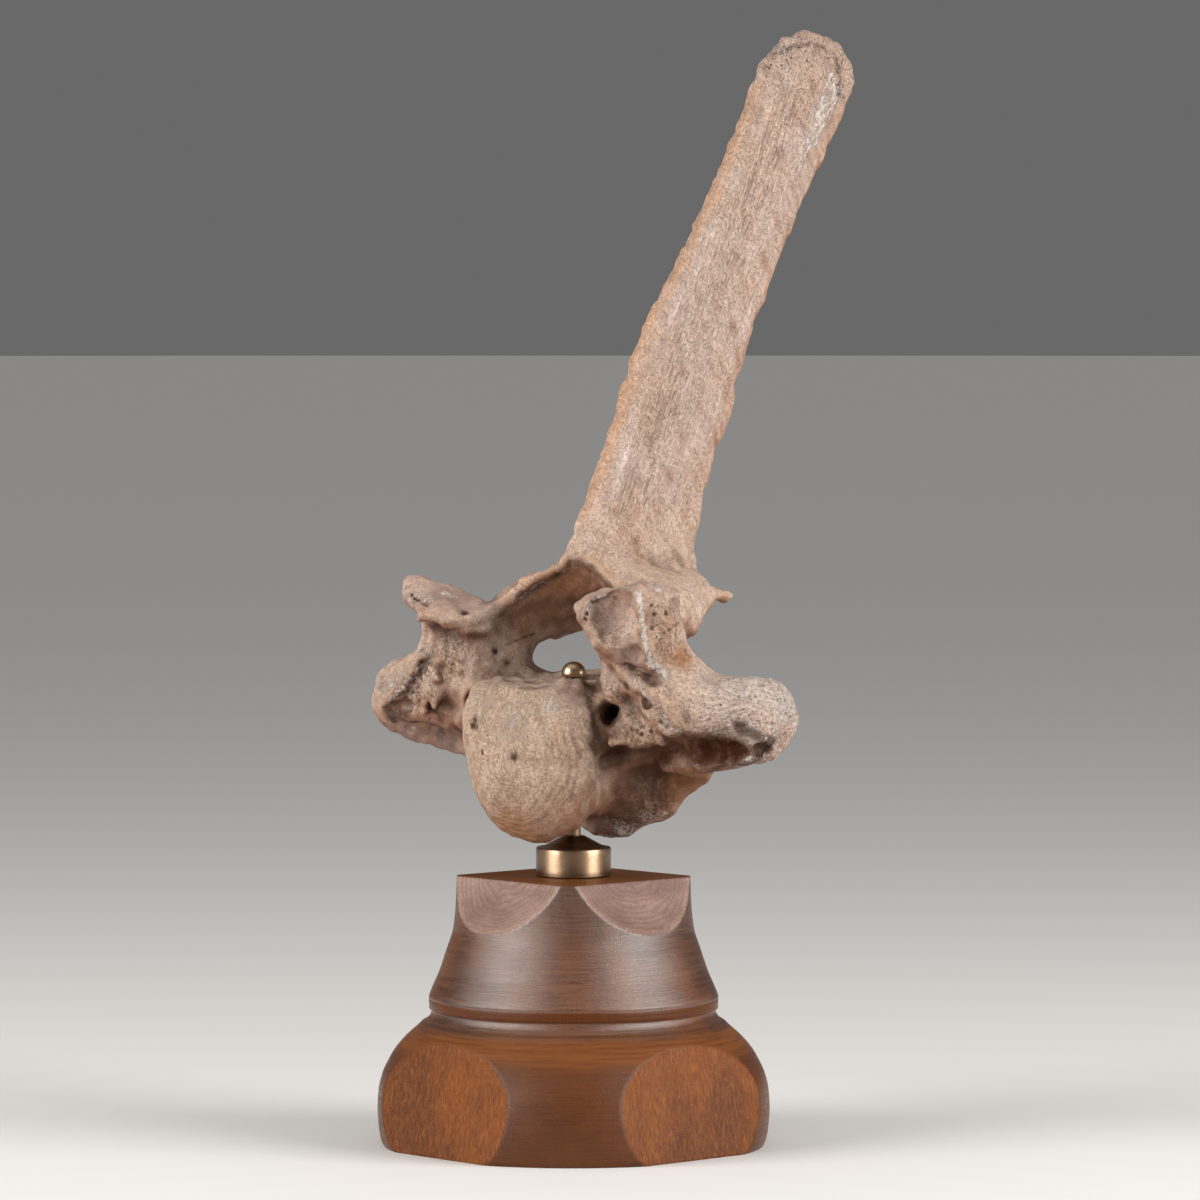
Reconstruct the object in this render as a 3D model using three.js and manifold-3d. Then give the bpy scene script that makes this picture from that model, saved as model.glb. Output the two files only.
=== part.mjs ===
// Fossil steppe bison vertebra held on a turned wooden stand by a thin rod.
// Millimetres, +Z up. The origin is the middle of the stand's underside and the rod is on the Z axis.

import * as THREE from 'three';
import { mergeVertices } from 'three/addons/utils/BufferGeometryUtils.js';
import Module from 'manifold-3d';

// Wooden stand
const BASE_HEIGHT = 102.2;
const BASE_BULGE_RADIUS = 74.7;
const BASE_TOP_RADIUS = 44.4;
const BASE_FLAT_OUT = 67.1;
const BASE_FLAT_LEAN = 0.112;
const BASE_SIDES = 48;
const SCOOP_RADIUS = 60;
const SCOOP_AXIS_OUT = 87.5;
const SCOOP_AXIS_ABOVE = 26.4;

// Metal fittings
const GAP = 0.3;
const ROD_RADIUS = 2.7;
const ROD_BOTTOM = 73.5;
const ROD_TOP = 181;
const COLLAR_RADIUS = 14.25;
const COLLAR_HEIGHT = 11.2;
const COLLAR_CHAMFER = 0.8;
const COLLAR_CONE_HEIGHT = 4.3;
const COLLAR_CONE_TOP_RADIUS = 4;
const CAP_RADIUS = 4.65;
const CAP_BOTTOM = 178.1;
const CAP_TOP = 183.9;
const METAL_SIDES = 24;

// Vertebra: how it is turned and lifted on its rod, and how finely its surface is divided
const VERTEBRA_TURN = 5.5;
const VERTEBRA_LIFT = 1.5;
const BODY_CELL = 5.2;
const SPINE_CELL = 11;
const SPINE_CELLS_START = 238;
const BONE_LOW = { left: -119, tail: -50, up: 109 };
const BONE_HIGH = { left: 115, tail: 186, up: 434 };

// Vertebra: main sizes
const HEAD_HALF_WIDTH = 28;
const HEAD_HALF_HEIGHT = 34;
const CENTRUM_MIDDLE_UP = 149;
const CANAL_HALF_WIDTH = 26.5;
const CANAL_ROOF = 219;
const CANAL_ROOF_FALL = 0.75;
const CANAL_FLOOR = 176;
const CANAL_FRONT = -16;
const TRANSVERSE_END = 87;
const RIGHT_TRANSVERSE_EXTRA = 4.5;
const SPINE_BOTTOM = 208;
const SPINE_LEAN = 28;

// The spine's cranial and caudal edges and its half thickness at a few heights
const SPINE_EDGES = [
  { up: 200, front: -5, back: 66.5, half: 13 },
  { up: 226, front: 0, back: 68, half: 10.5 },
  { up: 245, front: 8.2, back: 73.8, half: 9.2 },
  { up: 262, front: 18, back: 80, half: 8.8 },
  { up: 274, front: 23.6, back: 89.5, half: 8.5 },
  { up: 288, front: 30, back: 92.5, half: 8.2 },
  { up: 306, front: 39.3, back: 102, half: 8 },
  { up: 335, front: 61, back: 117.5, half: 8 },
  { up: 360, front: 79, back: 133.5, half: 8 },
  { up: 385, front: 95, back: 152, half: 8 },
  { up: 411, front: 109, back: 168.5, half: 9 },
  { up: 440, front: 122.5, back: 177, half: 9 },
];
const SPINE_TIP = { tail: 137, up: 400, length: 25.5, corner: 2.1, lean: 10 };

const wasm = await Module();
wasm.setup();

// Booleans on closed meshes

function solidOf(geometry) {
  const bare = geometry.clone();
  bare.deleteAttribute('normal');
  bare.deleteAttribute('uv');
  const merged = mergeVertices(bare, 1e-4);
  const vertProperties = new Float32Array(merged.attributes.position.array);
  const triVerts = new Uint32Array(merged.index.array);
  return new wasm.Manifold(new wasm.Mesh({ numProp: 3, vertProperties, triVerts }));
}

function geometryOf(solid) {
  const mesh = solid.getMesh();
  const geometry = new THREE.BufferGeometry();
  geometry.setAttribute('position', new THREE.BufferAttribute(mesh.vertProperties, 3));
  geometry.setIndex(new THREE.BufferAttribute(mesh.triVerts, 1));
  geometry.computeVertexNormals();
  return geometry;
}

function turned(points, sides) {
  const profile = points.map(([radius, up]) => new THREE.Vector2(radius, up));
  const geometry = new THREE.LatheGeometry(profile, sides);
  geometry.rotateX(Math.PI / 2);
  return geometryOf(solidOf(geometry));
}

// Wooden stand: a turned foot with four flats on its bulge and four scoops at its top edge

function baseProfile() {
  const socket = ROD_RADIUS + GAP;
  return [
    [0, 0], [72.4, 0], [73.4, 2.1], [74.3, 7.6], [BASE_BULGE_RADIUS, 13.9], [74.3, 20.7],
    [73, 26.6], [70.5, 32.2], [67.9, 36.5], [64, 41], [58.6, 45.9], [57.2, 47], [55.4, 48],
    [55.6, 51.2], [55.2, 54.7], [53.9, 59.7], [51.1, 66.2], [48.5, 74], [45.8, 82.6], [44.8, 92.5],
    [BASE_TOP_RADIUS, BASE_HEIGHT], [socket, BASE_HEIGHT], [socket, ROD_BOTTOM - GAP], [0, ROD_BOTTOM - GAP],
  ];
}

function flatsBlock() {
  const out = (up) => (BASE_FLAT_OUT - BASE_FLAT_LEAN * up) * Math.SQRT2;
  const low = -20;
  const high = BASE_HEIGHT + 20;
  const block = new THREE.CylinderGeometry(out(high), out(low), high - low, 4);
  block.rotateY(Math.PI / 4);
  block.rotateX(Math.PI / 2);
  return block.translate(0, 0, (low + high) / 2);
}

function scoop(quarter) {
  const cutter = new THREE.CylinderGeometry(SCOOP_RADIUS, SCOOP_RADIUS, 2 * BASE_BULGE_RADIUS, 96);
  cutter.translate(SCOOP_AXIS_OUT, 0, BASE_HEIGHT + SCOOP_AXIS_ABOVE);
  cutter.rotateZ(quarter * Math.PI / 2);
  return cutter;
}

function woodenBase() {
  let solid = solidOf(turned(baseProfile(), BASE_SIDES)).intersect(solidOf(flatsBlock()));
  for (let quarter = 0; quarter < 4; quarter += 1) {
    solid = solid.subtract(solidOf(scoop(quarter)));
  }
  return geometryOf(solid);
}

// Metal collar with a shallow turned cone on top, the rod, and the domed cap that closes it

function brassCollar() {
  const bore = ROD_RADIUS + GAP;
  const bottom = BASE_HEIGHT + GAP;
  const shoulder = BASE_HEIGHT + COLLAR_HEIGHT;
  const inner = COLLAR_RADIUS - COLLAR_CHAMFER;
  const top = shoulder + COLLAR_CONE_HEIGHT;
  return turned([
    [bore, bottom], [inner, bottom], [COLLAR_RADIUS, bottom + COLLAR_CHAMFER],
    [COLLAR_RADIUS, shoulder - COLLAR_CHAMFER], [inner, shoulder],
    [COLLAR_CONE_TOP_RADIUS, top], [bore, top], [bore, bottom],
  ], METAL_SIDES);
}

function rod() {
  return turned([
    [0, ROD_BOTTOM], [ROD_RADIUS, ROD_BOTTOM], [ROD_RADIUS, ROD_TOP], [0, ROD_TOP],
  ], METAL_SIDES / 2);
}

function brassCap() {
  const bore = ROD_RADIUS + GAP;
  const roof = ROD_TOP + GAP;
  const springing = CAP_BOTTOM + 1.4;
  const dome = [];
  const steps = 6;
  for (let step = 0; step <= steps; step += 1) {
    const angle = step / steps * Math.PI / 2;
    dome.push([CAP_RADIUS * Math.cos(angle), springing + (CAP_TOP - springing) * Math.sin(angle)]);
  }
  dome[steps][0] = 0;
  return turned([
    [0, roof], [bore, roof], [bore, CAP_BOTTOM], [CAP_RADIUS, CAP_BOTTOM], ...dome,
  ], METAL_SIDES);
}

// Vertebra: each form gives the distance to its surface, negative inside.
// Places are given as tailward, leftward and up from the origin, in the animal's own directions.

const point = new THREE.Vector3();
const other = new THREE.Vector3();

const at = (tail, left, up) => new THREE.Vector3(left, tail, up);

function turnPair(a, b, degrees) {
  const angle = THREE.MathUtils.degToRad(degrees);
  return [a * Math.cos(angle) + b * Math.sin(angle), b * Math.cos(angle) - a * Math.sin(angle)];
}

// An egg shape: yaw turns it level, roll lifts its outer side, pitch lifts its tailward side
function egg(p, centre, radii, { yaw = 0, roll = 0, pitch = 0 } = {}) {
  let { x: left, y: tail, z: up } = point.subVectors(p, centre);
  [tail, left] = turnPair(tail, left, yaw);
  [left, up] = turnPair(left, up, roll);
  [tail, up] = turnPair(tail, up, pitch);
  point.set(left / radii.x, tail / radii.y, up / radii.z);
  const size = point.length();
  const slope = other.copy(point).divide(radii).length();
  return size * (size - 1) / Math.max(slope, 1e-6);
}

// A round bar whose radius changes from start to end, squeezed along an axis where a stretch is over 1
function limb(p, start, end, startRadius, endRadius, stretch = at(1, 1, 1)) {
  point.subVectors(p, start).multiply(stretch);
  other.subVectors(end, start).multiply(stretch);
  const along = THREE.MathUtils.clamp(point.dot(other) / other.lengthSq(), 0, 1);
  const radius = THREE.MathUtils.lerp(startRadius, endRadius, along);
  const away = point.addScaledVector(other, -along).length() - radius;
  return away / Math.max(stretch.x, stretch.y, stretch.z);
}

function join(a, b, blend) {
  const overlap = Math.max(blend - Math.abs(a - b), 0) / blend;
  return Math.min(a, b) - overlap * overlap * blend / 4;
}

const carve = (a, b, blend) => -join(-a, b, blend);

// Centrum: the rounded head in front, the waist, the flared rim behind with its low side wings and
// the rough lobes under it, and the floor of the canal on top
function centrum(p, paired) {
  const middle = CENTRUM_MIDDLE_UP;
  let d = egg(p, at(-21, 0, middle), at(23, HEAD_HALF_WIDTH, HEAD_HALF_HEIGHT));
  d = join(d, egg(paired, at(-22, 13, 162), at(19, 15, 16)), 8);
  d = join(d, limb(p, at(-14, 0, middle), at(18, 0, middle + 1), 24, 27, at(1, 0.95, 1)), 10);
  d = join(d, egg(p, at(20, 0, middle - 1), at(9, 35, 31)), 8);
  d = join(d, limb(paired, at(22, 20, 133), at(20, 45, 144), 8, 7), 12);
  d = join(d, egg(p, at(21, 1, 122.5), at(7, 13, 6.6)), 3);
  d = join(d, egg(p, at(21, 23, 129.5), at(6.5, 9, 6.5)), 3);
  return join(d, egg(p, at(8, 0, 166), at(30, 27, 12.6)), 3);
}

// Pedicle and transverse process, with the lips under its rib facet and the bony strap in front
function sideProcess(d, p, { paired, mirrored, outward }) {
  d = join(d, limb(paired, at(-8, 36, 168), at(7, 35, 200), 10, 10, at(1, 1.1, 1)), 10);
  d = join(d, limb(paired, at(2, 31.5, 189), at(26, 26, 202), 5.5, 6), 6);
  d = join(d, limb(paired, at(2, 30, 162), at(3, 58, 166), 16, 14), 10);
  d = join(d, limb(outward, at(3, 56, 168), at(6, TRANSVERSE_END, 165), 11, 15), 8);
  d = join(d, limb(paired, at(-9, 56, 176), at(-5, 76, 165), 8, 9), 10);
  d = join(d, limb(paired, at(9, 55, 147), at(8, 88, 154), 6, 6, at(0.8, 1, 1)), 6);
  d = join(d, limb(p, at(-4, 68, 150.5), at(-2, 92, 155), 6, 6), 5);
  d = join(d, limb(mirrored, at(-10, 64, 178), at(-2, 80, 174.5), 8.5, 9), 6);
  return join(d, limb(paired, at(-17.5, 44, 176), at(-15, 63, 159), 3, 3.4), 5);
}

// Cranial joint processes on leaning columns: the right one is a sharp tilted plate with a raised
// outer corner, and the left one is level, higher and blunt
function cranialJoints(d, p, { paired, mirrored }) {
  d = join(d, limb(paired, at(-16, 51.5, 199), at(-7, 56, 180), 9.5, 10.5), 8);
  d = join(d, limb(paired, at(-15, 39, 197), at(-8, 41, 176), 8, 10), 8);
  d = join(d, limb(p, at(-12, 33, 178), at(-12.5, 34, 190), 5.5, 5), 4);
  const rightPlate = egg(mirrored, at(-20, 47.5, 202), at(14.5, 19.5, 6.5), { roll: 25, pitch: 3 });
  const rightHorn = limb(mirrored, at(-19, 50, 203), at(-24, 60.5, 209), 5.5, 4.2);
  d = join(d, join(rightPlate, rightHorn, 5), 4);
  const leftPlate = egg(p, at(-17, 42, 207), at(16.5, 22, 6), { roll: 8, pitch: 4 });
  const leftHorn = limb(p, at(-18, 50, 206), at(-24, 58, 209), 5.5, 4.5);
  d = join(d, join(leftPlate, leftHorn, 6), 5);
  return join(d, egg(p, at(-17.5, 46, 198), at(14.5, 17.5, 15)), 8);
}

// Arch over the canal, the caudal joint processes and the thorn at the spine's foot
function arch(d, p, { paired }) {
  d = join(d, limb(paired, at(5, 34, 199.5), at(14, 2, 218), 6.5, 7, at(0.55, 1, 1)), 6);
  d = join(d, limb(paired, at(12, 35, 206.5), at(18, 14, 214.5), 5.5, 6, at(0.8, 1, 1)), 6);
  d = join(d, limb(paired, at(22, 29, 202), at(42, 10, 209), 8, 8, at(0.8, 1, 1)), 8);
  d = join(d, limb(paired, at(26, 26, 201), at(56, 12, 205), 7.5, 6.5, at(1, 0.9, 1)), 8);
  return join(d, limb(p, at(60, 8, 205.5), at(82.5, 6, 204.5), 6.5, 1.8), 5);
}

// The spine is a long leaning blade with a lens-like section and a blunt rounded top
function spine(p) {
  const last = SPINE_EDGES.length - 1;
  let row = 0;
  while (row < last - 1 && p.z > SPINE_EDGES[row + 1].up) row += 1;
  const low = SPINE_EDGES[row];
  const high = SPINE_EDGES[row + 1];
  const share = THREE.MathUtils.clamp((p.z - low.up) / (high.up - low.up), 0, 1);
  const front = THREE.MathUtils.lerp(low.front, high.front, share);
  const back = THREE.MathUtils.lerp(low.back, high.back, share);
  const half = THREE.MathUtils.lerp(low.half, high.half, share);
  const lean = THREE.MathUtils.degToRad(SPINE_LEAN);
  const width = (back - front) / 2 * Math.cos(lean);
  const across = Math.abs(p.y - (front + back) / 2) * Math.cos(lean) / width;
  const tipLean = THREE.MathUtils.degToRad(SPINE_TIP.lean);
  const past = (p.y - SPINE_TIP.tail) * Math.sin(tipLean) + (p.z - SPINE_TIP.up) * Math.cos(tipLean);
  const end = Math.max(past, 0) / SPINE_TIP.length;
  const side = Math.abs(p.x) / half;
  const power = SPINE_TIP.corner;
  const size = (across ** power + side ** 2 + end ** power) ** (1 / power);
  const rise = Math.hypot(across ** (power - 1) / width, side / half, end ** (power - 1) / SPINE_TIP.length);
  const d = (size - 1) * Math.max(size, 0.3) / Math.max(rise, 0.02);
  return Math.max(d, SPINE_BOTTOM - p.z);
}

// The neural canal runs right through, pointed above and flat below, with its roof falling tailward.
// Ahead of its front the space is open down at the head only.
function canal(p) {
  const roof = CANAL_ROOF - CANAL_ROOF_FALL * THREE.MathUtils.clamp(p.y + 1, 0, 24);
  const floor = CANAL_FLOOR + 0.12 * THREE.MathUtils.clamp(p.y - 4, 0, 26);
  const middle = THREE.MathUtils.lerp(floor, roof, 0.38);
  const above = p.z > middle;
  const half = above ? roof - middle : middle - floor;
  const power = above ? 1.7 : 3;
  const side = Math.abs(p.x) / CANAL_HALF_WIDTH;
  const up = Math.abs(p.z - middle) / half;
  const size = (side ** power + up ** power) ** (1 / power);
  const rise = Math.hypot(side ** (power - 1) / CANAL_HALF_WIDTH, up ** (power - 1) / half);
  const slope = rise / Math.max(size, 1e-3) ** (power - 1);
  const ahead = CANAL_FRONT - p.y - 3 * Math.max(190 - p.z, 0);
  return Math.max(0.8 * (size - 1) / Math.max(slope, 1e-3), ahead);
}

// Hollows: the canal, the cup behind, the joint facets, the rib facets and the small foramina
function hollows(d, p, { paired, mirrored }) {
  d = carve(d, canal(p), 4);
  d = carve(d, egg(p, at(44, 0, CENTRUM_MIDDLE_UP - 2), at(20, 25, 23)), 4);
  d = carve(d, egg(mirrored, at(-22, 37, 225), at(22, 28, 19.5), { roll: 24, pitch: 10 }), 2);
  d = carve(d, egg(p, at(-16, 40, 230.5), at(20, 26, 19.5), { roll: 8, pitch: 4 }), 2);
  d = carve(d, egg(paired, at(-20, 46, 148), at(15, 15, 11), { roll: -4 }), 3);
  d = carve(d, egg(p, at(-18, 82, 150), at(14, 18, 9.5), { roll: 3 }), 2);
  d = carve(d, egg(mirrored, at(-13, 79, 153), at(11, 18, 4), { roll: 4 }), 2);
  return carve(d, limb(paired, at(-28, 41, 165), at(-6, 28, 164), 5.2, 3), 3);
}

const sides = {
  paired: new THREE.Vector3(),
  mirrored: new THREE.Vector3(),
  outward: new THREE.Vector3(),
};

function boneDistance(p) {
  const extra = p.x < 0 ? RIGHT_TRANSVERSE_EXTRA : 0;
  sides.paired.set(Math.abs(p.x), p.y, p.z);
  sides.mirrored.set(-p.x, p.y, p.z);
  sides.outward.set(sides.paired.x - extra, p.y, p.z);
  let d = centrum(p, sides.paired);
  d = sideProcess(d, p, sides);
  d = cranialJoints(d, p, sides);
  d = arch(d, p, sides);
  d = join(d, spine(p), 7);
  return hollows(d, p, sides);
}

// Skin over a distance function: one vertex in each grid cell that the surface crosses

function gridLines(low, high, cell) {
  const count = Math.ceil((high - low) / cell);
  return Array.from({ length: count + 1 }, (_, step) => low + step * (high - low) / count);
}

function sampled(distance, lines) {
  const [nx, ny, nz] = lines.map((axis) => axis.length);
  const values = new Float32Array(nx * ny * nz);
  const p = new THREE.Vector3();
  for (let k = 0; k < nz; k += 1) {
    for (let j = 0; j < ny; j += 1) {
      for (let i = 0; i < nx; i += 1) {
        p.set(lines[0][i], lines[1][j], lines[2][k]);
        values[i + nx * (j + ny * k)] = distance(p);
      }
    }
  }
  return values;
}

const CORNERS = Array.from({ length: 8 }, (_, c) => [c & 1, (c >> 1) & 1, (c >> 2) & 1]);
const NEXT_CORNERS = CORNERS.map((_, c) => [c ^ 1, c ^ 2, c ^ 4]);

function groupsOf(wanted) {
  const seen = new Array(8).fill(false);
  let groups = 0;
  for (let start = 0; start < 8; start += 1) {
    if (!wanted[start] || seen[start]) continue;
    groups += 1;
    const waiting = [start];
    seen[start] = true;
    while (waiting.length) {
      for (const next of NEXT_CORNERS[waiting.pop()]) {
        if (wanted[next] && !seen[next]) {
          seen[next] = true;
          waiting.push(next);
        }
      }
    }
  }
  return groups;
}

// A cell crossed by two sheets of surface has its weakest corner changed over until one sheet is left
function singleSheets(values, [nx, ny, nz]) {
  const offsets = CORNERS.map(([a, b, c]) => a + nx * (b + ny * c));
  let changed = true;
  while (changed) {
    changed = false;
    for (let k = 0; k < nz - 1; k += 1) {
      for (let j = 0; j < ny - 1; j += 1) {
        for (let i = 0; i < nx - 1; i += 1) {
          const first = i + nx * (j + ny * k);
          const inside = offsets.map((offset) => values[first + offset] < 0);
          const outside = inside.map((flag) => !flag);
          if (groupsOf(inside) <= 1 && groupsOf(outside) <= 1) continue;
          const size = (offset) => Math.abs(values[first + offset]);
          const weakest = offsets.reduce((best, offset) => (size(offset) < size(best) ? offset : best));
          values[first + weakest] = values[first + weakest] < 0 ? 0.5 : -0.5;
          changed = true;
        }
      }
    }
  }
}

// The vertex of a cell is the mean of its edge crossings, then slid onto the surface
function cellVertex(distance, values, lines, first, offsets, cell) {
  const sum = new THREE.Vector3();
  let count = 0;
  for (let c = 0; c < 8; c += 1) {
    for (const next of NEXT_CORNERS[c]) {
      const a = values[first + offsets[c]];
      const b = values[first + offsets[next]];
      if (next < c || (a < 0) === (b < 0)) continue;
      const share = a / (a - b);
      const corner = (axis, q) => lines[axis][cell[axis] + CORNERS[q][axis]];
      const place = [0, 1, 2].map((axis) => THREE.MathUtils.lerp(corner(axis, c), corner(axis, next), share));
      sum.add(new THREE.Vector3(...place));
      count += 1;
    }
  }
  if (count === 0) return null;
  return slideOnto(distance, sum.divideScalar(count), 1.5);
}

function slideOnto(distance, vertex, farthest) {
  const step = 0.3;
  const start = vertex.clone();
  for (let round = 0; round < 3; round += 1) {
    const here = distance(vertex);
    const slope = new THREE.Vector3(
      distance(new THREE.Vector3(vertex.x + step, vertex.y, vertex.z)) - here,
      distance(new THREE.Vector3(vertex.x, vertex.y + step, vertex.z)) - here,
      distance(new THREE.Vector3(vertex.x, vertex.y, vertex.z + step)) - here,
    ).divideScalar(step);
    vertex.addScaledVector(slope, -0.7 * here / Math.max(slope.lengthSq(), 0.2));
  }
  const moved = vertex.sub(start).clampLength(0, farthest);
  return start.add(moved);
}

function skin(distance, lines) {
  const counts = lines.map((axis) => axis.length);
  const [nx, ny, nz] = counts;
  const values = sampled(distance, lines);
  singleSheets(values, counts);
  const offsets = CORNERS.map(([a, b, c]) => a + nx * (b + ny * c));
  const strides = [1, nx, nx * ny];
  const vertexOf = new Int32Array(values.length).fill(-1);
  const positions = [];
  const triangles = [];
  for (let k = 0; k < nz - 1; k += 1) {
    for (let j = 0; j < ny - 1; j += 1) {
      for (let i = 0; i < nx - 1; i += 1) {
        const first = i + nx * (j + ny * k);
        const vertex = cellVertex(distance, values, lines, first, offsets, [i, j, k]);
        if (!vertex) continue;
        vertexOf[first] = positions.length / 3;
        positions.push(vertex.x, vertex.y, vertex.z);
      }
    }
  }
  for (let first = 0; first < values.length; first += 1) {
    for (let axis = 0; axis < 3; axis += 1) {
      const next = first + strides[axis];
      if (next >= values.length || (values[first] < 0) === (values[next] < 0)) continue;
      const b = strides[(axis + 1) % 3];
      const c = strides[(axis + 2) % 3];
      const ring = [first - b - c, first - c, first, first - b].map((cell) => vertexOf[cell]);
      if (values[first] >= 0) ring.reverse();
      triangles.push(...splitQuad(positions, ring));
    }
  }
  const geometry = new THREE.BufferGeometry();
  geometry.setAttribute('position', new THREE.Float32BufferAttribute(positions, 3));
  geometry.setIndex(triangles);
  return geometry;
}

// A four-sided face is split along its shorter diagonal
function splitQuad(positions, [a, b, c, d]) {
  const corner = (index) => new THREE.Vector3().fromArray(positions, 3 * index);
  const direct = corner(a).distanceTo(corner(c)) <= corner(b).distanceTo(corner(d));
  return direct ? [a, b, c, a, c, d] : [a, b, d, b, c, d];
}

function vertebra() {
  const lines = [
    gridLines(BONE_LOW.left, BONE_HIGH.left, BODY_CELL),
    gridLines(BONE_LOW.tail, BONE_HIGH.tail, BODY_CELL),
    [...gridLines(BONE_LOW.up, SPINE_CELLS_START, BODY_CELL),
      ...gridLines(SPINE_CELLS_START, BONE_HIGH.up, SPINE_CELL).slice(1)],
  ];
  const bone = solidOf(skin(boneDistance, lines));
  const drill = new THREE.CylinderGeometry(ROD_RADIUS + GAP, ROD_RADIUS + GAP, 80, METAL_SIDES / 2);
  drill.rotateX(Math.PI / 2);
  drill.translate(0, 0, 145);
  return geometryOf(bone.subtract(solidOf(drill)));
}

function piece(name, geometry, colour, roughness, metalness) {
  const material = new THREE.MeshStandardMaterial({ color: colour, roughness, metalness });
  const mesh = new THREE.Mesh(geometry, material);
  mesh.name = name;
  return mesh;
}

const bone = piece('vertebra', vertebra(), 0xbfa58d, 0.85, 0);
bone.rotation.z = THREE.MathUtils.degToRad(VERTEBRA_TURN);
bone.position.z = VERTEBRA_LIFT;

const specimen = new THREE.Group();
specimen.add(
  piece('wooden_base', woodenBase(), 0x834b28, 0.45, 0),
  piece('brass_collar', brassCollar(), 0xc4a46c, 0.35, 1),
  piece('rod', rod(), 0xb8a888, 0.4, 1),
  piece('brass_cap', brassCap(), 0xc4a46c, 0.3, 1),
  bone,
);

export default specimen;
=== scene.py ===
import math
from itertools import chain
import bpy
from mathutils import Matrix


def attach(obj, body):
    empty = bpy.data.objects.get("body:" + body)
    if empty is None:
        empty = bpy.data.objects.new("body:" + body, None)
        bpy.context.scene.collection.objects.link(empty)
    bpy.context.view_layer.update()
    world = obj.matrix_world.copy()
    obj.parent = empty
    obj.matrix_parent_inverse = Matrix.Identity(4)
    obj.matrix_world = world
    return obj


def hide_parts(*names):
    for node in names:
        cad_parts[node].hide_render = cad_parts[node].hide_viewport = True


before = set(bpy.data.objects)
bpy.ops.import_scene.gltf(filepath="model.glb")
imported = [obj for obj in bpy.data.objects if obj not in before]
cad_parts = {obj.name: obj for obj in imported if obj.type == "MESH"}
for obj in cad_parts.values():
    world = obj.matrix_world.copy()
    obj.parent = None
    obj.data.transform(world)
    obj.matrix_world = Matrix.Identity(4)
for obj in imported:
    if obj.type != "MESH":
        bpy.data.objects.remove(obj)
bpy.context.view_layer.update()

from types import SimpleNamespace

import bpy
import numpy as np
from mathutils import Euler, Vector

# All lengths below are millimetres unless a name says otherwise. Blender's own unit is the metre.
MM = 0.001

# Camera: the photograph's frame and where the stand's axis and the horizon lie in it
FRAME_PIXELS = 1200
FOCAL_PIXELS = 6592
AXIS_PIXEL = 573.5
HORIZON_PIXEL = 289.5
CAMERA_DISTANCE = 2500
CAMERA_HEIGHT = 325
CAMERA_AZIMUTH = 47.5
SENSOR_WIDTH = 36

# Light: two tall soft boxes at the sides of the camera, a top light and a dim room
BOX_ANGLE = 64
BOX_DISTANCE = 1500
BOX_SIZE = (950, 1300)
BOX_CENTRE_UP = 620
BOX_AIM_UP = 200
LEFT_WATTS = 35
RIGHT_WATTS = 37
SKY_STRENGTH = 0.68
SKY_ANGLE = 75
ROOM_GREY = 0.14
FLOOR_RADIUS = 30000

# The bone stands turned a little on its rod
VERTEBRA_TURN = 5.5
VERTEBRA_LIFT = 1.5
BONE_CELL = 1.15
BLOCK_CELLS = 4
BLOCK_REACH = 8.5
BONE_LOW = (-108, -52, 106)
BONE_HIGH = (108, 190, 432)

# Wooden stand
BASE_COLUMNS = 480
BASE_ROWS = 195
FLAT_OUT = 67.9
FLAT_LEAN = 0.126
SCOOP_RADIUS = 60
SCOOP_AXIS_OUT = 89.2
SCOOP_AXIS_ABOVE = 22
EDGE_ROUND = 0.3
BASE_TOP = 102.2
BAND_LOW = 51.6
BAND_HIGH = 55.9
BASE_PROFILE = [
    (72.4, 0), (73.4, 2.1), (74.3, 7.6), (74.7, 13.9), (74.3, 20.7), (73, 26.6), (70.5, 32.2),
    (67.9, 36.5), (64, 41), (58.8, 45.7), (57.5, 46.9), (56.2, 47.2), (55.9, 47.8), (54.9, 48.9),
    (54.2, 50.6), (54.1, 51.8), (55, 52.1), (55.1, 55.4), (54.7, 55.7), (55.2, 56.2), (54.9, 57.2),
    (53.7, 60.2), (51.1, 66.2), (48.5, 74), (45.8, 82.6), (44.8, 92.5), (44.4, 102.2),
]

f32 = np.float32


# Material nodes

class Value:
    """What a node gives out. Sums, differences and products of values are further nodes."""

    def __init__(self, tree, socket):
        self.tree = tree
        self.socket = socket

    def __add__(self, other):
        return maths("ADD", self, other)

    def __sub__(self, other):
        return maths("SUBTRACT", self, other)

    def __mul__(self, other):
        return maths("MULTIPLY", self, other)

    def ramp(self, low, high, to_low=0.0, to_high=1.0):
        """A smooth change from one number to another as the value goes from low to high."""
        settings = {"clamp": True, "interpolation_type": "SMOOTHSTEP"}
        return add_node(self.tree, "MapRange", settings, {0: self, 1: low, 2: high, 3: to_low, 4: to_high})


def plug(tree, socket, value):
    if isinstance(value, Value):
        tree.links.new(value.socket, socket)
    else:
        socket.default_value = value


def add_node(tree, kind, settings, inputs, output=0):
    """One output of a new node, with its inputs set to numbers or linked to other values."""
    made = tree.nodes.new("ShaderNode" + kind)
    for name, value in settings.items():
        setattr(made, name, value)
    for key, value in inputs.items():
        plug(tree, made.inputs[key], value)
    return Value(tree, made.outputs[output])


def maths(operation, a, b=0.0):
    tree = a.tree if isinstance(a, Value) else b.tree
    return add_node(tree, "Math", {"operation": operation}, {0: a, 1: b})


def noise(vector, scale, detail=3.0, roughness=0.55, distortion=0.0):
    inputs = {"Vector": vector, "Scale": scale, "Detail": detail}
    inputs.update(Roughness=roughness, Distortion=distortion)
    return add_node(vector.tree, "TexNoise", {}, inputs, "Fac")


def pores(vector, scale):
    """Distance to the nearest of scattered points."""
    inputs = {"Vector": vector, "Scale": scale}
    return add_node(vector.tree, "TexVoronoi", {"feature": "F1"}, inputs, "Distance")


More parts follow.
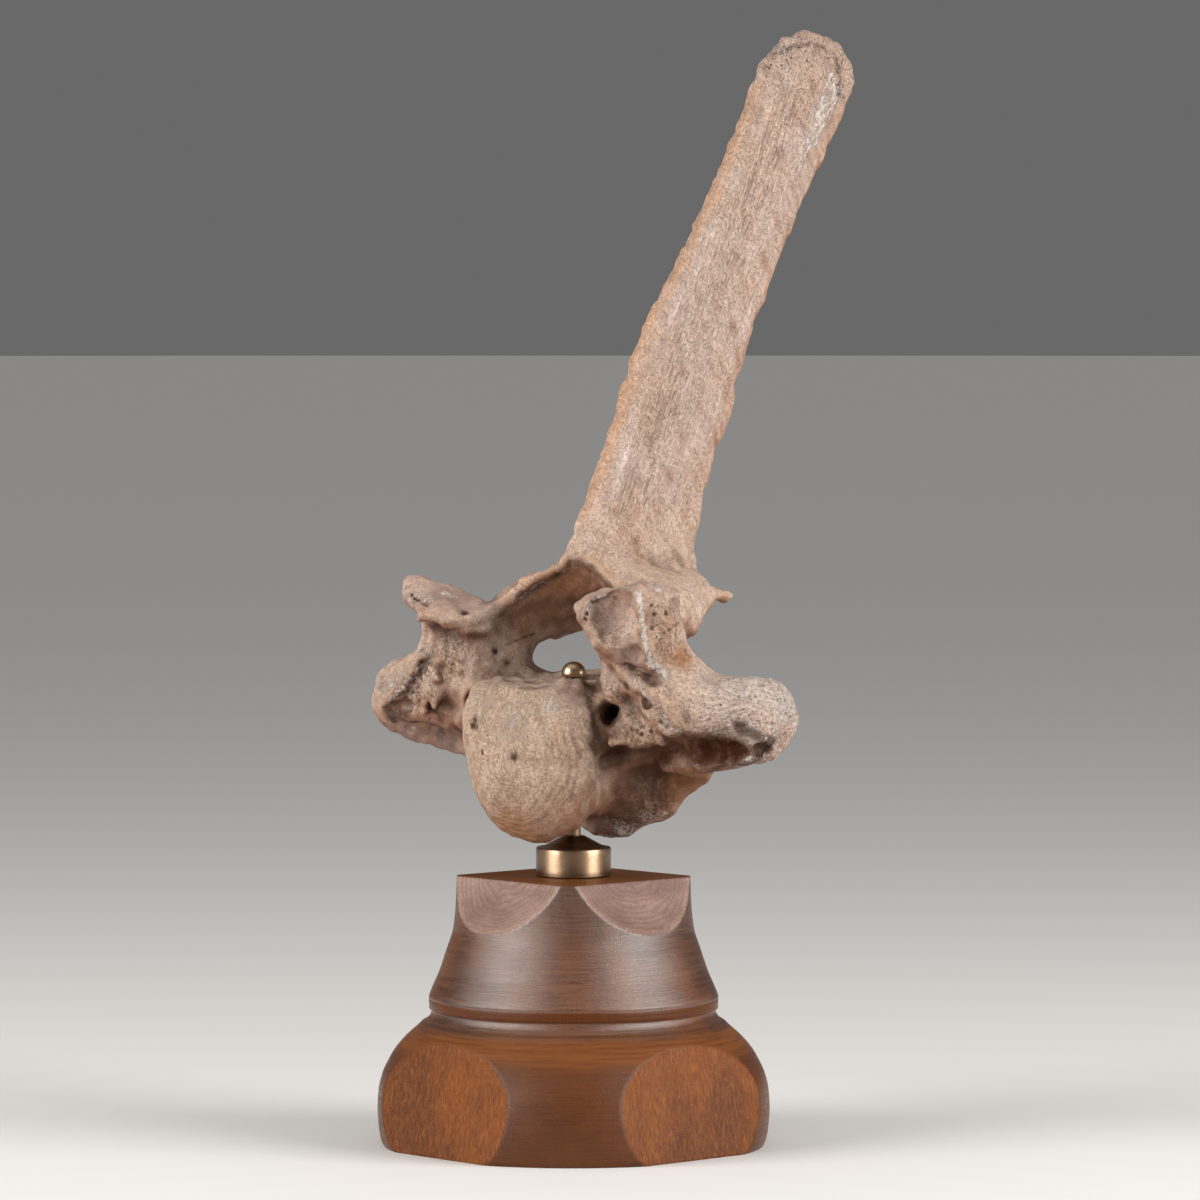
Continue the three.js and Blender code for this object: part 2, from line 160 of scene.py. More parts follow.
def stretched(vector, scale, rotation=(0, 0, 0)):
    """Coordinates turned by degrees and then scaled."""
    inputs = {"Vector": vector, "Rotation": [math.radians(a) for a in rotation]}
    turned_vector = add_node(vector.tree, "VectorRotate", {"rotation_type": "EULER_XYZ"}, inputs)
    return add_node(vector.tree, "VectorMath", {"operation": "MULTIPLY"}, {0: turned_vector, 1: scale})


def attribute(tree, name, output="Fac"):
    return add_node(tree, "Attribute", {"attribute_name": name}, {}, output)


def paint(red, green, blue):
    """A colour from 0 to 255 in the screen's scale, made linear."""
    linear = [((c / 255 + 0.055) / 1.055) ** 2.4 if c > 10 else c / 3300 for c in (red, green, blue)]
    return linear + [1]


def over(colour, mask, shade):
    """The colour with a shade laid over it where the mask is. A tuple is for paint, a list is linear."""
    a, b = (paint(*c) if isinstance(c, tuple) else c for c in (colour, shade))
    return add_node(mask.tree, "Mix", {"data_type": "RGBA"}, {0: mask, 6: a, 7: b}, 2)


def layered(colour, layers):
    """The colour with each mask's shade laid over it in turn."""
    for mask, shade in layers:
        colour = over(colour, mask, shade)
    return colour


def broken(mask, texture, soft=0.35, strength=0.9):
    """The mask with its edge broken up by a texture."""
    shifted = mask + (texture - 0.5) * strength
    return shifted.ramp(0.5 - soft, 0.5 + soft) * mask.ramp(0, 0.15)


def start_material(name):
    material = bpy.data.materials.new(name)
    material.use_nodes = True
    tree = material.node_tree
    tree.nodes.clear()
    shader = tree.nodes.new("ShaderNodeBsdfPrincipled")
    output = tree.nodes.new("ShaderNodeOutputMaterial")
    tree.links.new(shader.outputs[0], output.inputs[0])
    return material, shader


def finish_material(material, shader, height, depth, **inputs):
    """Sets the shader's inputs and a bump; depth is the height's unit in millimetres."""
    tree = material.node_tree
    inputs["Normal"] = add_node(tree, "Bump", {}, {"Height": height, "Distance": depth * MM, "Strength": 1.0})
    for name, value in inputs.items():
        plug(tree, shader.inputs[name.replace("_", " ")], value)
    return material


# Meshes

def mesh_object(name, points, faces, smooth=True):
    """points in millimetres; faces as an array or a list"""
    faces = faces.tolist() if isinstance(faces, np.ndarray) else faces
    mesh = bpy.data.meshes.new(name)
    mesh.from_pydata((np.asarray(points) * MM).tolist(), [], faces)
    mesh.validate()
    mesh.update()
    if smooth:
        mesh.shade_smooth()
    made = bpy.data.objects.new(name, mesh)
    bpy.context.scene.collection.objects.link(made)
    return made


def give_attribute(made, name, values):
    values = np.asarray(values, f32)
    kind = "FLOAT_VECTOR" if values.ndim == 2 else "FLOAT"
    slot = made.data.attributes.new(name, kind, "POINT")
    slot.data.foreach_set("vector" if values.ndim == 2 else "value", values.ravel())


def ring_mesh(name, rings, closed=False):
    """Rings of points joined each to the next, the last to the first if closed. A ring may be one point."""
    rings = [np.array(ring, float) for ring in rings]
    points = np.concatenate(rings)
    starts = np.cumsum([0] + [len(ring) for ring in rings])
    numbers = [np.arange(start, end) for start, end in zip(starts, starts[1:])]
    faces = []
    for low, high in zip(numbers, numbers[1:] + (numbers[:1] if closed else [])):
        corners = [low, np.roll(low, -1), np.roll(high, -1), high]
        if len(low) == 1:
            corners = [np.full(len(high), low[0])] + corners[2:]
        elif len(high) == 1:
            corners = corners[:2] + [np.full(len(low), high[0])]
        faces += np.stack(corners, 1).tolist()
    made = mesh_object(name, points, faces)
    give_attribute(made, "place", points)
    return made


def turned_rings(outline, segments):
    """A ring for each radius and height, or a single point where the radius is 0."""
    a = np.arange(segments) / segments * 2 * math.pi
    circle = np.stack([np.cos(a), np.sin(a), 0 * a], 1)
    return [circle[:1 if r == 0 else segments] * r + (0, 0, z) for r, z in outline]


def dress(made, material, node):
    made.data.materials.append(material)
    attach(made, "root")
    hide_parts(node)


# Seeded noise on points, for relief in the mesh itself

# the corners of a cell
CORNERS = [(k & 1, k >> 1 & 1, k >> 2 & 1) for k in range(8)]


def scrambled(x, y, z, seed):
    h = (x * np.uint32(0x8DA6B343)) ^ (y * np.uint32(0xD8163841)) ^ (z * np.uint32(0xCB1AB31F))
    h = h ^ np.uint32(seed * 0x9E3779B1 & 0xFFFFFFFF)
    h = (h ^ (h >> np.uint32(15))) * np.uint32(0x2C1B3C6D)
    h = (h ^ (h >> np.uint32(12))) * np.uint32(0x297A2D39)
    return (h ^ (h >> np.uint32(15))).astype(np.float64) / 4294967295.0


# the noise's cells lie askew to every flat face, so that no rows show
ASKEW = np.array(Euler([math.radians(a) for a in (38, 24, 31)]).to_matrix())


def lumps(points, size, seed):
    """Smooth noise from -1 to 1 with lumps of about that size; size may be one number or three."""
    p = np.asarray(points, np.float64) / np.asarray(size, np.float64) @ ASKEW
    cell = np.floor(p)
    t = p - cell
    t = t * t * t * (t * (t * 6 - 15) + 10)
    base = cell.astype(np.int64).astype(np.uint32)
    total = 0
    for step in CORNERS:
        weight = 1
        for axis in range(3):
            weight = weight * (t[:, axis] if step[axis] else 1 - t[:, axis])
        total = total + weight * scrambled(*(base + np.uint32(step)).T, seed)
    return total * 2 - 1


WEAKER = 0.55
SEED_STEP = 17


def rough(points, size, octaves, seed):
    """Noise with finer and weaker lumps on top of the first ones."""
    size = np.asarray(size, np.float64)
    return sum(WEAKER ** k * lumps(points, size / 2 ** k, seed + k * SEED_STEP) for k in range(octaves))


def pits(points, size, seed):
    """Distance, as a share of size, to the nearest of scattered points."""
    p = np.asarray(points, np.float64) / size
    cell = np.floor(p)
    best = np.full(len(p), 9.0)
    for k in range(27):
        corner = cell + (k % 3 - 1, k // 3 % 3 - 1, k // 9 - 1)
        c = corner.astype(np.int64).astype(np.uint32)
        jitter = np.stack([scrambled(*c.T, seed + n) for n in range(3)], 1)
        best = np.minimum(best, ((corner + jitter - p) ** 2).sum(1))
    return np.sqrt(best)


def ramp(value, low, high):
    t = np.clip((value - low) / (high - low), 0, 1)
    return t * t * (3 - 2 * t)


# The bone's form: a blend of round forms. u runs to the tail, v to the animal's left, z up. The forms of
# both sides are mirrored, and those of the right have v run outward to the right.

def turned(a, b, degrees):
    c, s = f32(math.cos(math.radians(degrees))), f32(math.sin(math.radians(degrees)))
    return c * a + s * b, -s * a + c * b


def egg(place, centre, radii, roll=0.0, pitch=0.0):
    """Distance to an ellipsoid, near enough close to its surface."""
    du, dv, dz = (p - f32(c) for p, c in zip(place, centre))
    if roll:
        dv, dz = turned(dv, dz, roll)
    if pitch:
        du, dz = turned(du, dz, pitch)
    a, b, c = np.abs(du / radii[0]), np.abs(dv / radii[1]), np.abs(dz / radii[2])
    k0 = np.sqrt(a * a + b * b + c * c)
    a, b, c = a / radii[0], b / radii[1], c / radii[2]
    return k0 * (k0 - 1) / np.maximum(np.sqrt(a * a + b * b + c * c), 1e-6)


def limb(place, start, end, r0, r1, squash=(1, 1, 1)):
    """Distance to a round limb from start to end; squash stretches space along each axis."""
    a = np.array(start, float) * squash
    d = np.array(end, float) * squash - a
    pu, pv, pz = (p * s - f32(c) for p, s, c in zip(place, squash, a))
    h = np.clip((pu * f32(d[0]) + pv * f32(d[1]) + pz * f32(d[2])) / f32(d @ d), 0, 1)
    pu, pv, pz = pu - h * f32(d[0]), pv - h * f32(d[1]), pz - h * f32(d[2])
    return (np.sqrt(pu * pu + pv * pv + pz * pz) - (r0 + (r1 - r0) * h)) / max(squash)


def join(a, b, k):
    h = np.maximum(k - np.abs(a - b), 0) / k
    return np.minimum(a, b) - h * h * k * 0.25


def blend(d, parts):
    """The form with each part grown onto it, softly over k, or carved out of it where k is negative."""
    for k, part in parts:
        d = join(d, part, k) if k > 0 else -join(-d, part, -k)
    return d


def ridge(place, points, radius, k):
    """The parts of a raised line through the points, or of a sunk one where k is negative."""
    for start, end in zip(points, points[1:]):
        yield k, limb(place, start, end, radius, radius)


# up, front edge, back edge, half thickness of the spine's blade
SPINE_EDGES = [
    (200, -5, 66.5, 13), (226, 0, 68, 10.5), (245, 8.2, 73.8, 9.2), (262, 18, 80, 8.8),
    (274, 23.6, 89.5, 8.5), (288, 30, 92.5, 8.2), (306, 39.3, 102, 8), (335, 61, 117.5, 8),
    (360, 79, 133.5, 8), (385, 95, 152, 8), (411, 109, 168.5, 9), (440, 122.5, 177, 9),
]
SPINE_LEAN = 28
SPINE_BOTTOM = 208
TIP_TAIL = 137
TIP_UP = 400
TIP_LENGTH = 25.5
TIP_CORNER = 2.1
TIP_LEAN = 10


def spine(u, v, z):
    """The tall blade: a lens section between two edges, closed by a rounded end."""
    heights, fore, aft, thick = (np.array(q, float) for q in zip(*SPINE_EDGES))
    lean = math.cos(math.radians(SPINE_LEAN))
    middle = np.interp(z, heights, (fore + aft) / 2).astype(f32)
    half_wide = np.interp(z, heights, (aft - fore) / 2 * lean).astype(f32)
    half_thick = np.interp(z, heights, thick).astype(f32)
    across = (u - middle) * f32(lean)
    c, s = math.cos(math.radians(TIP_LEAN)), math.sin(math.radians(TIP_LEAN))
    beyond = np.maximum((u - TIP_TAIL) * f32(s) + (z - TIP_UP) * f32(c), 0)
    p = TIP_CORNER
    a, b, e = np.abs(across / half_wide), np.abs(v / half_thick), beyond / TIP_LENGTH
    k0 = (a ** p + b ** 2 + e ** p) ** (1 / p)
    ga, gb, ge = a ** (p - 1) / half_wide, b / half_thick, e ** (p - 1) / TIP_LENGTH
    slope = np.sqrt(ga * ga + gb * gb + ge * ge) / np.maximum(k0, 0.3)
    d = (k0 - 1) / np.maximum(slope, 0.02)
    return np.maximum(d, SPINE_BOTTOM - z)


def centrum(left, both):
    yield 1, egg(left, (-21, 0, 149), (23, 28, 34))
    yield 8, egg(both, (-22, 13, 162), (19, 15, 16))
    yield 10, limb(left, (-14, 0, 149), (18, 0, 150), 24, 27, (1, 0.95, 1))
    yield 8, egg(left, (20, 0, 148), (9, 35, 31))
    yield 12, limb(both, (22, 20, 133), (20, 45, 144), 8, 7)
    yield 3, egg(left, (21, 0, 121.5), (7, 14, 6.8))
    yield 2, limb(left, (20, -9, 119), (21, 6, 118.3), 4, 4)
    yield 3, egg(left, (21, 23, 129.5), (6.5, 9, 6.5))
    yield 3, egg(left, (15, 0, 168), (27, 29, 12.4))


RIGHT_REACH = 4.5


def side_processes(left, both, right):
    u, v, z = left
    outer = (u, np.abs(v) - np.where(v > 0, f32(0), f32(RIGHT_REACH)), z)
    yield 10, limb(both, (-8, 36, 168), (7, 35, 200), 10, 10, (1, 1.1, 1))
    yield 6, limb(both, (2, 31.5, 189), (26, 26, 202), 5.5, 6)
    yield 10, limb(both, (2, 30, 162), (3, 58, 166), 16, 14)
    yield 8, limb(outer, (3, 56, 168), (6, 87, 165), 11, 15)
    yield 10, limb(both, (-9, 56, 176), (-5, 76, 165), 8, 9)
    yield 6, limb(both, (9, 55, 147), (8, 88, 154), 6, 6, (0.8, 1, 1))
    yield 5, limb(left, (-4, 68, 150.5), (-2, 92, 155), 6, 6)
    yield 6, limb(right, (-10, 64, 178), (-2, 80, 174.5), 8.5, 9)


def front_joints(left, both, right):
    yield 8, limb(both, (-16, 51.5, 199), (-7, 56, 180), 9.5, 10.5)
    yield 8, limb(both, (-15, 39, 197), (-8, 41, 176), 8, 10)
    yield 4, limb(left, (-12, 33, 178), (-12.5, 34, 190), 5.5, 5)
    plate = egg(right, (-20, 47.5, 202), (14.5, 19.5, 6.5), roll=25, pitch=3)
    horn = limb(right, (-19, 50, 203), (-24, 60.5, 209), 5.5, 4.2)
    yield 4, join(plate, horn, 5)
    plate = egg(left, (-17, 42, 207), (16.5, 22, 6), roll=8, pitch=4)
    horn = limb(left, (-18, 50, 206), (-24, 58, 209), 5.5, 4.5)
    yield 5, join(plate, horn, 6)
    yield 8, egg(left, (-17.5, 46, 198), (14.5, 17.5, 15))
    yield 5, limb(left, (-17.5, 44, 176), (-15, 63, 159), 3, 3.4)


def arch(left, both):
    yield 6, limb(both, (5, 34, 199.5), (14, 2, 218), 6.5, 7, (0.55, 1, 1))
    yield 6, limb(both, (12, 35, 206.5), (18, 14, 214.5), 5.5, 6, (0.8, 1, 1))
    yield 12, limb(both, (22, 29, 202), (42, 10, 209), 8, 8, (0.8, 1, 1))
    yield 12, limb(both, (26, 26, 201), (56, 12, 205), 7.5, 6.5, (1, 0.9, 1))
    yield 5, limb(left, (60, 8, 205.5), (82.5, 6, 204.5), 6.5, 1.8)


CANAL_HALF_WIDTH = 26.5
CANAL_ROOF = 219
CANAL_ROOF_FALL = 0.75
CANAL_FLOOR = 175.8
CANAL_FLOOR_RISE = 0.2
CANAL_FRONT = -16
# where between floor and roof the canal is widest, and how square it is above and below
CANAL_WIDEST = 0.38
ARCH_POWER = 1.7
FLOOR_POWER = 3.0


def canal(u, v, z):
    """The arched passage from front to back, taller in front."""
    top = f32(CANAL_ROOF) - f32(CANAL_ROOF_FALL) * np.clip(u + 1, 0, 24)
    floor = f32(CANAL_FLOOR) + f32(CANAL_FLOOR_RISE) * np.clip(u - 4, 0, 16)
    middle = floor + (top - floor) * f32(CANAL_WIDEST)
    above = z > middle
    half = np.where(above, top - middle, middle - floor)
    a, b = np.abs(v) / f32(CANAL_HALF_WIDTH), np.abs(z - middle) / half
    p = np.where(above, f32(ARCH_POWER), f32(FLOOR_POWER))
    k0 = (a ** p + b ** p) ** (1 / p)
    ga, gb = a ** (p - 1) / f32(CANAL_HALF_WIDTH), b ** (p - 1) / half
    slope = np.sqrt(ga * ga + gb * gb) / np.maximum(k0, 1e-3) ** (p - 1)
    d = (k0 - 1) / np.maximum(slope, 1e-3) * f32(0.8)
    ahead = (f32(CANAL_FRONT) - u) - 3 * np.maximum(190 - z, 0)
    return np.maximum(d, ahead)


def hollows(left, both, right):
    yield -4, canal(*left)
    yield -4, egg(left, (44, 0, 147), (20, 25, 23))
    yield -2, egg(right, (-22, 37, 225), (22, 28, 19.5), roll=24, pitch=10)
    yield -2, egg(left, (-16, 40, 230.5), (20, 26, 19.5), roll=8, pitch=4)
    yield -3, egg(both, (-20, 46, 148), (15, 15, 11), roll=-4)
    yield -2, egg(right, (-13, 79, 153), (11, 18, 4), roll=4)
    yield -3, limb(both, (-28, 41, 165), (-6, 28, 164), 5.2, 3)


GRIT_SUNK = 0.9
# small crumbled lumps on the right: tail, outward, up
RIGHT_GRIT = [
    (-15.8, 68, 170.5), (-17.4, 64, 168), (-19.3, 60, 171), (-14.2, 71, 167), (-15.2, 66, 164.5),
    (-18, 61, 166), (-19.8, 57, 169), (-18, 63.5, 173.3), (-20.4, 58, 174.5), (-12, 74, 167.5),
    (-16.5, 62, 162.5), (-19.6, 55, 165.5), (-16.4, 67.5, 167.4), (-20.9, 50.5, 186), (-21.3, 47, 188.5),
    (-21.5, 43.5, 190), (-21.3, 43.5, 184.5), (-20.9, 47, 184.5), (-20.6, 39.5, 183.5), (-21.2, 41, 187.5),
    (-20, 45.5, 180.5), (-20.6, 50, 182), (-19.6, 41.5, 179), (-20.7, 54, 178.5), (-20.7, 52, 174.5),
]


def grit(place, middles):
    for k, (u, v, z) in enumerate(middles):
        radii = (1.7, 1.6 + 0.4 * (k % 3), 1.4 + 0.3 * (k % 2))
        yield 2.2, egg(place, (u + GRIT_SUNK, v, z), radii, roll=35 + 20 * (k % 3))


def right_side_forms(right):
    """Ridges and hollows on the animal's right."""
    yield -1.2, egg(right, (-32, 42, 190.5), (10.5, 13, 6.5), roll=6)
    yield from ridge(right, [(-33, 47.5, 194), (-27, 49.5, 183)], 2.4, -1)
    brow = [(-34, 46, 199.5), (-31, 37, 198), (-23, 31, 198), (-9, 31.5, 202.5), (-4, 21, 211), (-1, 3, 220)]
    yield from ridge(right, brow, 1.5, 3)
    yield -0.7, egg(right, (-24.8, 93, 188.1), (26, 26, 26))
    crest = [(-20.5, 58.5, 184), (-19.5, 66, 177), (-17.5, 73.5, 171), (-13.5, 83, 166), (-9, 90, 163)]
    yield from ridge(right, crest, 2, 2)
    yield 4, egg(right, (-16.5, 56, 171), (4.5, 4.5, 6.5))
    yield from ridge(right, [(-20.8, 58, 179), (-19.6, 62.5, 173.5), (-17.6, 68, 168.5)], 1.2, -3)
    yield from ridge(right, [(-13.5, 74, 163.5), (-12.5, 80, 161), (-9.5, 90, 158.5)], 2.7, -0.8)
    yield from grit(right, RIGHT_GRIT)
    yield from ridge(right, [(-11, 62, 155.5), (-10, 50, 155)], 1.6, -0.8)


def left_side_forms(left):
    """Ridges and hollows on the animal's left."""
    yield 4, limb(left, (-31, 35.5, 203), (-28, 40.5, 193), 4.6, 4.4)
    yield -1.2, egg(left, (-36, 51, 202.5), (11.8, 11.8, 14))
    streak = [(-28.5, 58, 212), (-29.5, 60.5, 205), (-28.5, 60.5, 198), (-25.5, 60, 190), (-21, 58, 184)]
    yield from ridge(left, streak, 1.7, 2.5)
    yield -2, egg(left, (-28.5, 54, 187), (4.5, 3.6, 5), roll=-14)
    yield from ridge(left, [(-24, 49, 183.3), (-22.5, 54, 182.3)], 1.2, -0.8)
    yield from ridge(left, [(-21.5, 54, 179.5), (-20.5, 57.5, 178)], 1.7, -0.8)
    yield from ridge(left, [(-23, 41.5, 177.3), (-22.5, 45, 177.5), (-21, 49, 175.5)], 1.3, -0.6)
    strap = [(-20, 40.5, 187), (-20.5, 44.5, 180.5), (-20, 50, 176.5), (-18.6, 59, 173), (-15.5, 66.5, 163.5),
             (-11.5, 72, 159.5)]
    yield from ridge(left, strap, 2.5, 2.5)
    yield -1.4, egg(left, (-20, 54, 170), (2.6, 2.6, 1.9))
    yield -2.5, egg(left, (-23, 43, 168), (6.5, 8, 4.6))
    yield 6, egg(left, (-7, 44, 160), (8, 14, 7))
    yield 4, limb(left, (4, 44, 145), (-2, 70, 148), 2.4, 4)
    yield -1.5, egg(left, (-13, 46, 147.5), (13, 19, 7.4), roll=3)
    yield from ridge(left, [(-18, 36, 154), (-12, 43, 155), (-10, 54, 154.5)], 1.5, 5)
    yield -1, egg(left, (-17, 78, 151), (14.5, 22, 8.4), roll=2)
    yield -0.8, egg(left, (-6, 100, 153), (6.5, 5, 3.6))
    rim = [(-22, 30, 164), (-19.5, 32, 156), (-18.5, 32.5, 147), (-19, 31, 138), (-20, 26.5, 129)]
    yield from ridge(left, rim, 1.1, -1.5)


def waved(u, v, z):
    """Places shifted a little here and there, so that no form is perfectly even."""
    shift_u = 0.55 * np.sin(0.31 * u + 0.17 * z + 0.6) * np.cos(0.27 * v - 0.11 * z)
    shift_u += 0.3 * np.sin(0.71 * v - 0.43 * z + 1.1) * np.cos(0.66 * u + 0.31 * v)
    shift_v = 0.55 * np.sin(0.29 * v + 0.23 * z + 2.1) * np.cos(0.33 * u + 0.9)
    shift_v += 0.3 * np.sin(0.77 * u + 0.52 * z + 0.4) * np.cos(0.61 * v - 0.37 * z)
    shift_z = 0.55 * np.sin(0.37 * u - 0.21 * v + 1.3) * np.cos(0.19 * v + 0.35 * z)
    shift_z += 0.3 * np.sin(0.69 * u + 0.57 * v + 2.6) * np.cos(0.73 * z)
    return u + shift_u, v + shift_v, z + shift_z


ROD_HOLE_RADIUS = 3.0
ROD_HOLE_TOP = 182


def bone_distance(x, y, z):
    """x to the animal's left, y to the tail, z up, before the turn on the rod."""
    rod = np.maximum(np.sqrt(x * x + y * y) - ROD_HOLE_RADIUS, z - ROD_HOLE_TOP)
    u, v, z = waved(y, x, z)
    left, both, right = (u, v, z), (u, np.abs(v), z), (u, -v, z)
    parts = chain(
        centrum(left, both), side_processes(left, both, right), front_joints(left, both, right),
        arch(left, both), [(7, spine(*left))], hollows(left, both, right),
        right_side_forms(right), left_side_forms(left), [(-0.6, rod)])
    return blend(np.full(z.shape, 1e3, f32), parts)


# Closed quad skin over the zero level

def split_codes():
    """For each in-out pattern of a cell's corners: does either side fall apart?"""
    table = np.zeros(256, bool)
    for code in range(256):
        for side in (0, 1):
            members = [k for k in range(8) if (code >> k & 1) == side]
            if not members:
                continue
            reached = {members[0]}
            grew = True
            while grew:
                near = {k ^ bit for k in reached for bit in (1, 2, 4)} & set(members)
                grew = not near <= reached
                reached |= near
            if len(reached) < len(members):
                table[code] = True
    return table


def cell_slices(shift, shape):
    return tuple(slice(s, n - 1 + s) for s, n in zip(shift, shape))


def sample_grid(low, counts, cell):
    """Distances on the grid, worked out only near the surface."""
    axes = [low[a] + cell * np.arange(counts[a], dtype=f32) for a in range(3)]
    coarse = [axis[::BLOCK_CELLS] for axis in axes]
    d = bone_distance(*(g.ravel() for g in np.meshgrid(*coarse, indexing="ij")))
    d = d.reshape([len(c) for c in coarse])
    near = np.abs(d) < BLOCK_REACH
    blocks = np.zeros([n - 1 for n in near.shape], bool)
    for corner in CORNERS:
        blocks |= near[cell_slices(corner, near.shape)]
    wanted = np.zeros(counts, bool)
    for i, j, k in np.argwhere(blocks) * BLOCK_CELLS:
        wanted[i:i + BLOCK_CELLS + 1, j:j + BLOCK_CELLS + 1, k:k + BLOCK_CELLS + 1] = True
    nearest = [(np.arange(n) + BLOCK_CELLS // 2) // BLOCK_CELLS for n in counts]
    full = d[np.ix_(*nearest)].astype(f32)
    spots = np.argwhere(wanted)
    full[wanted] = bone_distance(*(axes[a][spots[:, a]].astype(f32) for a in range(3)))
    return full


SHEET_ROUNDS = 30


def single_sheet(d, cell):
    """Weak corners change side until no cell holds two sheets of surface."""
    table = split_codes()
    for _ in range(SHEET_ROUNDS):
        inside = d < 0
        codes = np.zeros([n - 1 for n in d.shape], np.uint8)
        for k, corner in enumerate(CORNERS):
            codes |= inside[cell_slices(corner, d.shape)].astype(np.uint8) << k
        bad = np.argwhere(table[codes])
        if not len(bad):
            break
        values = np.stack([d[tuple((bad + c).T)] for c in CORNERS], 1)
        weakest = np.abs(values).argmin(1)
        spots = np.unique(bad + np.array(CORNERS)[weakest], axis=0)
        d[tuple(spots.T)] = -np.sign(d[tuple(spots.T)]) * 0.3 * cell
    return codes


def first_points(d, active, low, cell):
    """Mean of the crossings on each active cell's edges."""
    total = np.zeros((len(active), 3))
    count = np.zeros(len(active))
    for a in range(3):
        for corner in CORNERS:
            if corner[a]:
                continue
            other = list(corner)
            other[a] = 1
            d0 = d[tuple((active + corner).T)].astype(float)
            d1 = d[tuple((active + other).T)].astype(float)
            crossed = (d0 < 0) != (d1 < 0)
            t = np.where(crossed, d0 / np.where(crossed, d0 - d1, 1), 0)
            spot = active + np.array(corner, float)
            spot[:, a] += t
            total += np.where(crossed[:, None], spot, 0)
            count += crossed
    return np.array(low) + cell * total / count[:, None]


def quads(d, active):
    inside = d < 0
    index = np.full([n - 1 for n in d.shape], -1, np.int32)
    index[tuple(active.T)] = np.arange(len(active))
    found = []
    for a in range(3):
        b, c = (a + 1) % 3, (a + 2) % 3
        first = [slice(None)] * 3
        second = [slice(None)] * 3
        first[a], second[a] = slice(0, -1), slice(1, None)
        crossed = inside[tuple(first)] != inside[tuple(second)]
        spots = np.argwhere(crossed)
        eb, ec = np.eye(3, dtype=int)[b], np.eye(3, dtype=int)[c]
        ring = [spots, spots - eb, spots - eb - ec, spots - ec]
        face = np.stack([index[tuple(r.T)] for r in ring], 1)
        outward = inside[tuple(spots.T)]
        found.append(np.where(outward[:, None], face, face[:, ::-1]))
    return np.concatenate(found)


def slope_at(points, step=0.35):
    x, y, z = (points[:, a].astype(f32) for a in range(3))
    gradient = np.empty((len(points), 3))
    for a, shift in enumerate(np.eye(3, dtype=f32) * f32(step)):
        ahead = bone_distance(x + shift[0], y + shift[1], z + shift[2])
        behind = bone_distance(x - shift[0], y - shift[1], z - shift[2])
        gradient[:, a] = (ahead - behind) / (2 * step)
    return gradient


def at(points):
    return bone_distance(*(points[:, a].astype(f32) for a in range(3))).astype(float)


def slide(points, cell):
    """One step onto the surface."""
    gradient = slope_at(points)
    squared = np.maximum((gradient ** 2).sum(1), 0.15)
    step = np.clip(at(points), -cell, cell) / squared
    return points - gradient * step[:, None], gradient


def relax(points, faces, normals, share):
    """Points drift along the surface to the middle of their neighbours."""
    total = np.zeros_like(points)
    count = np.zeros(len(points))
    for k in range(4):
        a, b = faces[:, k], faces[:, (k + 1) % 4]
        for here, there in ((a, b), (b, a)):
            for axis in range(3):
                total[:, axis] += np.bincount(here, points[there, axis], len(points))
            count += np.bincount(here, minlength=len(points))
    drift = total / count[:, None] - points
    drift -= normals * (drift * normals).sum(1)[:, None]
    return points + drift * share


def unit(vectors):
    return vectors / np.maximum(np.linalg.norm(vectors, axis=1, keepdims=True), 1e-9)


def bone_skin():
    low = np.array(BONE_LOW, float)
    blocks = np.ceil((np.array(BONE_HIGH) - low) / (BONE_CELL * BLOCK_CELLS)).astype(int)
    d = sample_grid(low, blocks * BLOCK_CELLS + 1, BONE_CELL)
    codes = single_sheet(d, BONE_CELL)
    active = np.argwhere((codes > 0) & (codes < 255))
    points = first_points(d, active, low, BONE_CELL)
    faces = quads(d, active)
    for _ in range(2):
        points, gradient = slide(points, BONE_CELL)
        points = relax(points, faces, unit(gradient), 0.5)
    points, gradient = slide(points, BONE_CELL)
    return points, unit(gradient), faces


# What the bone's surface is like, place by place. A spot is (x left, y tail, z up, radius, strength);
# a line is its points, its radius and its strength.

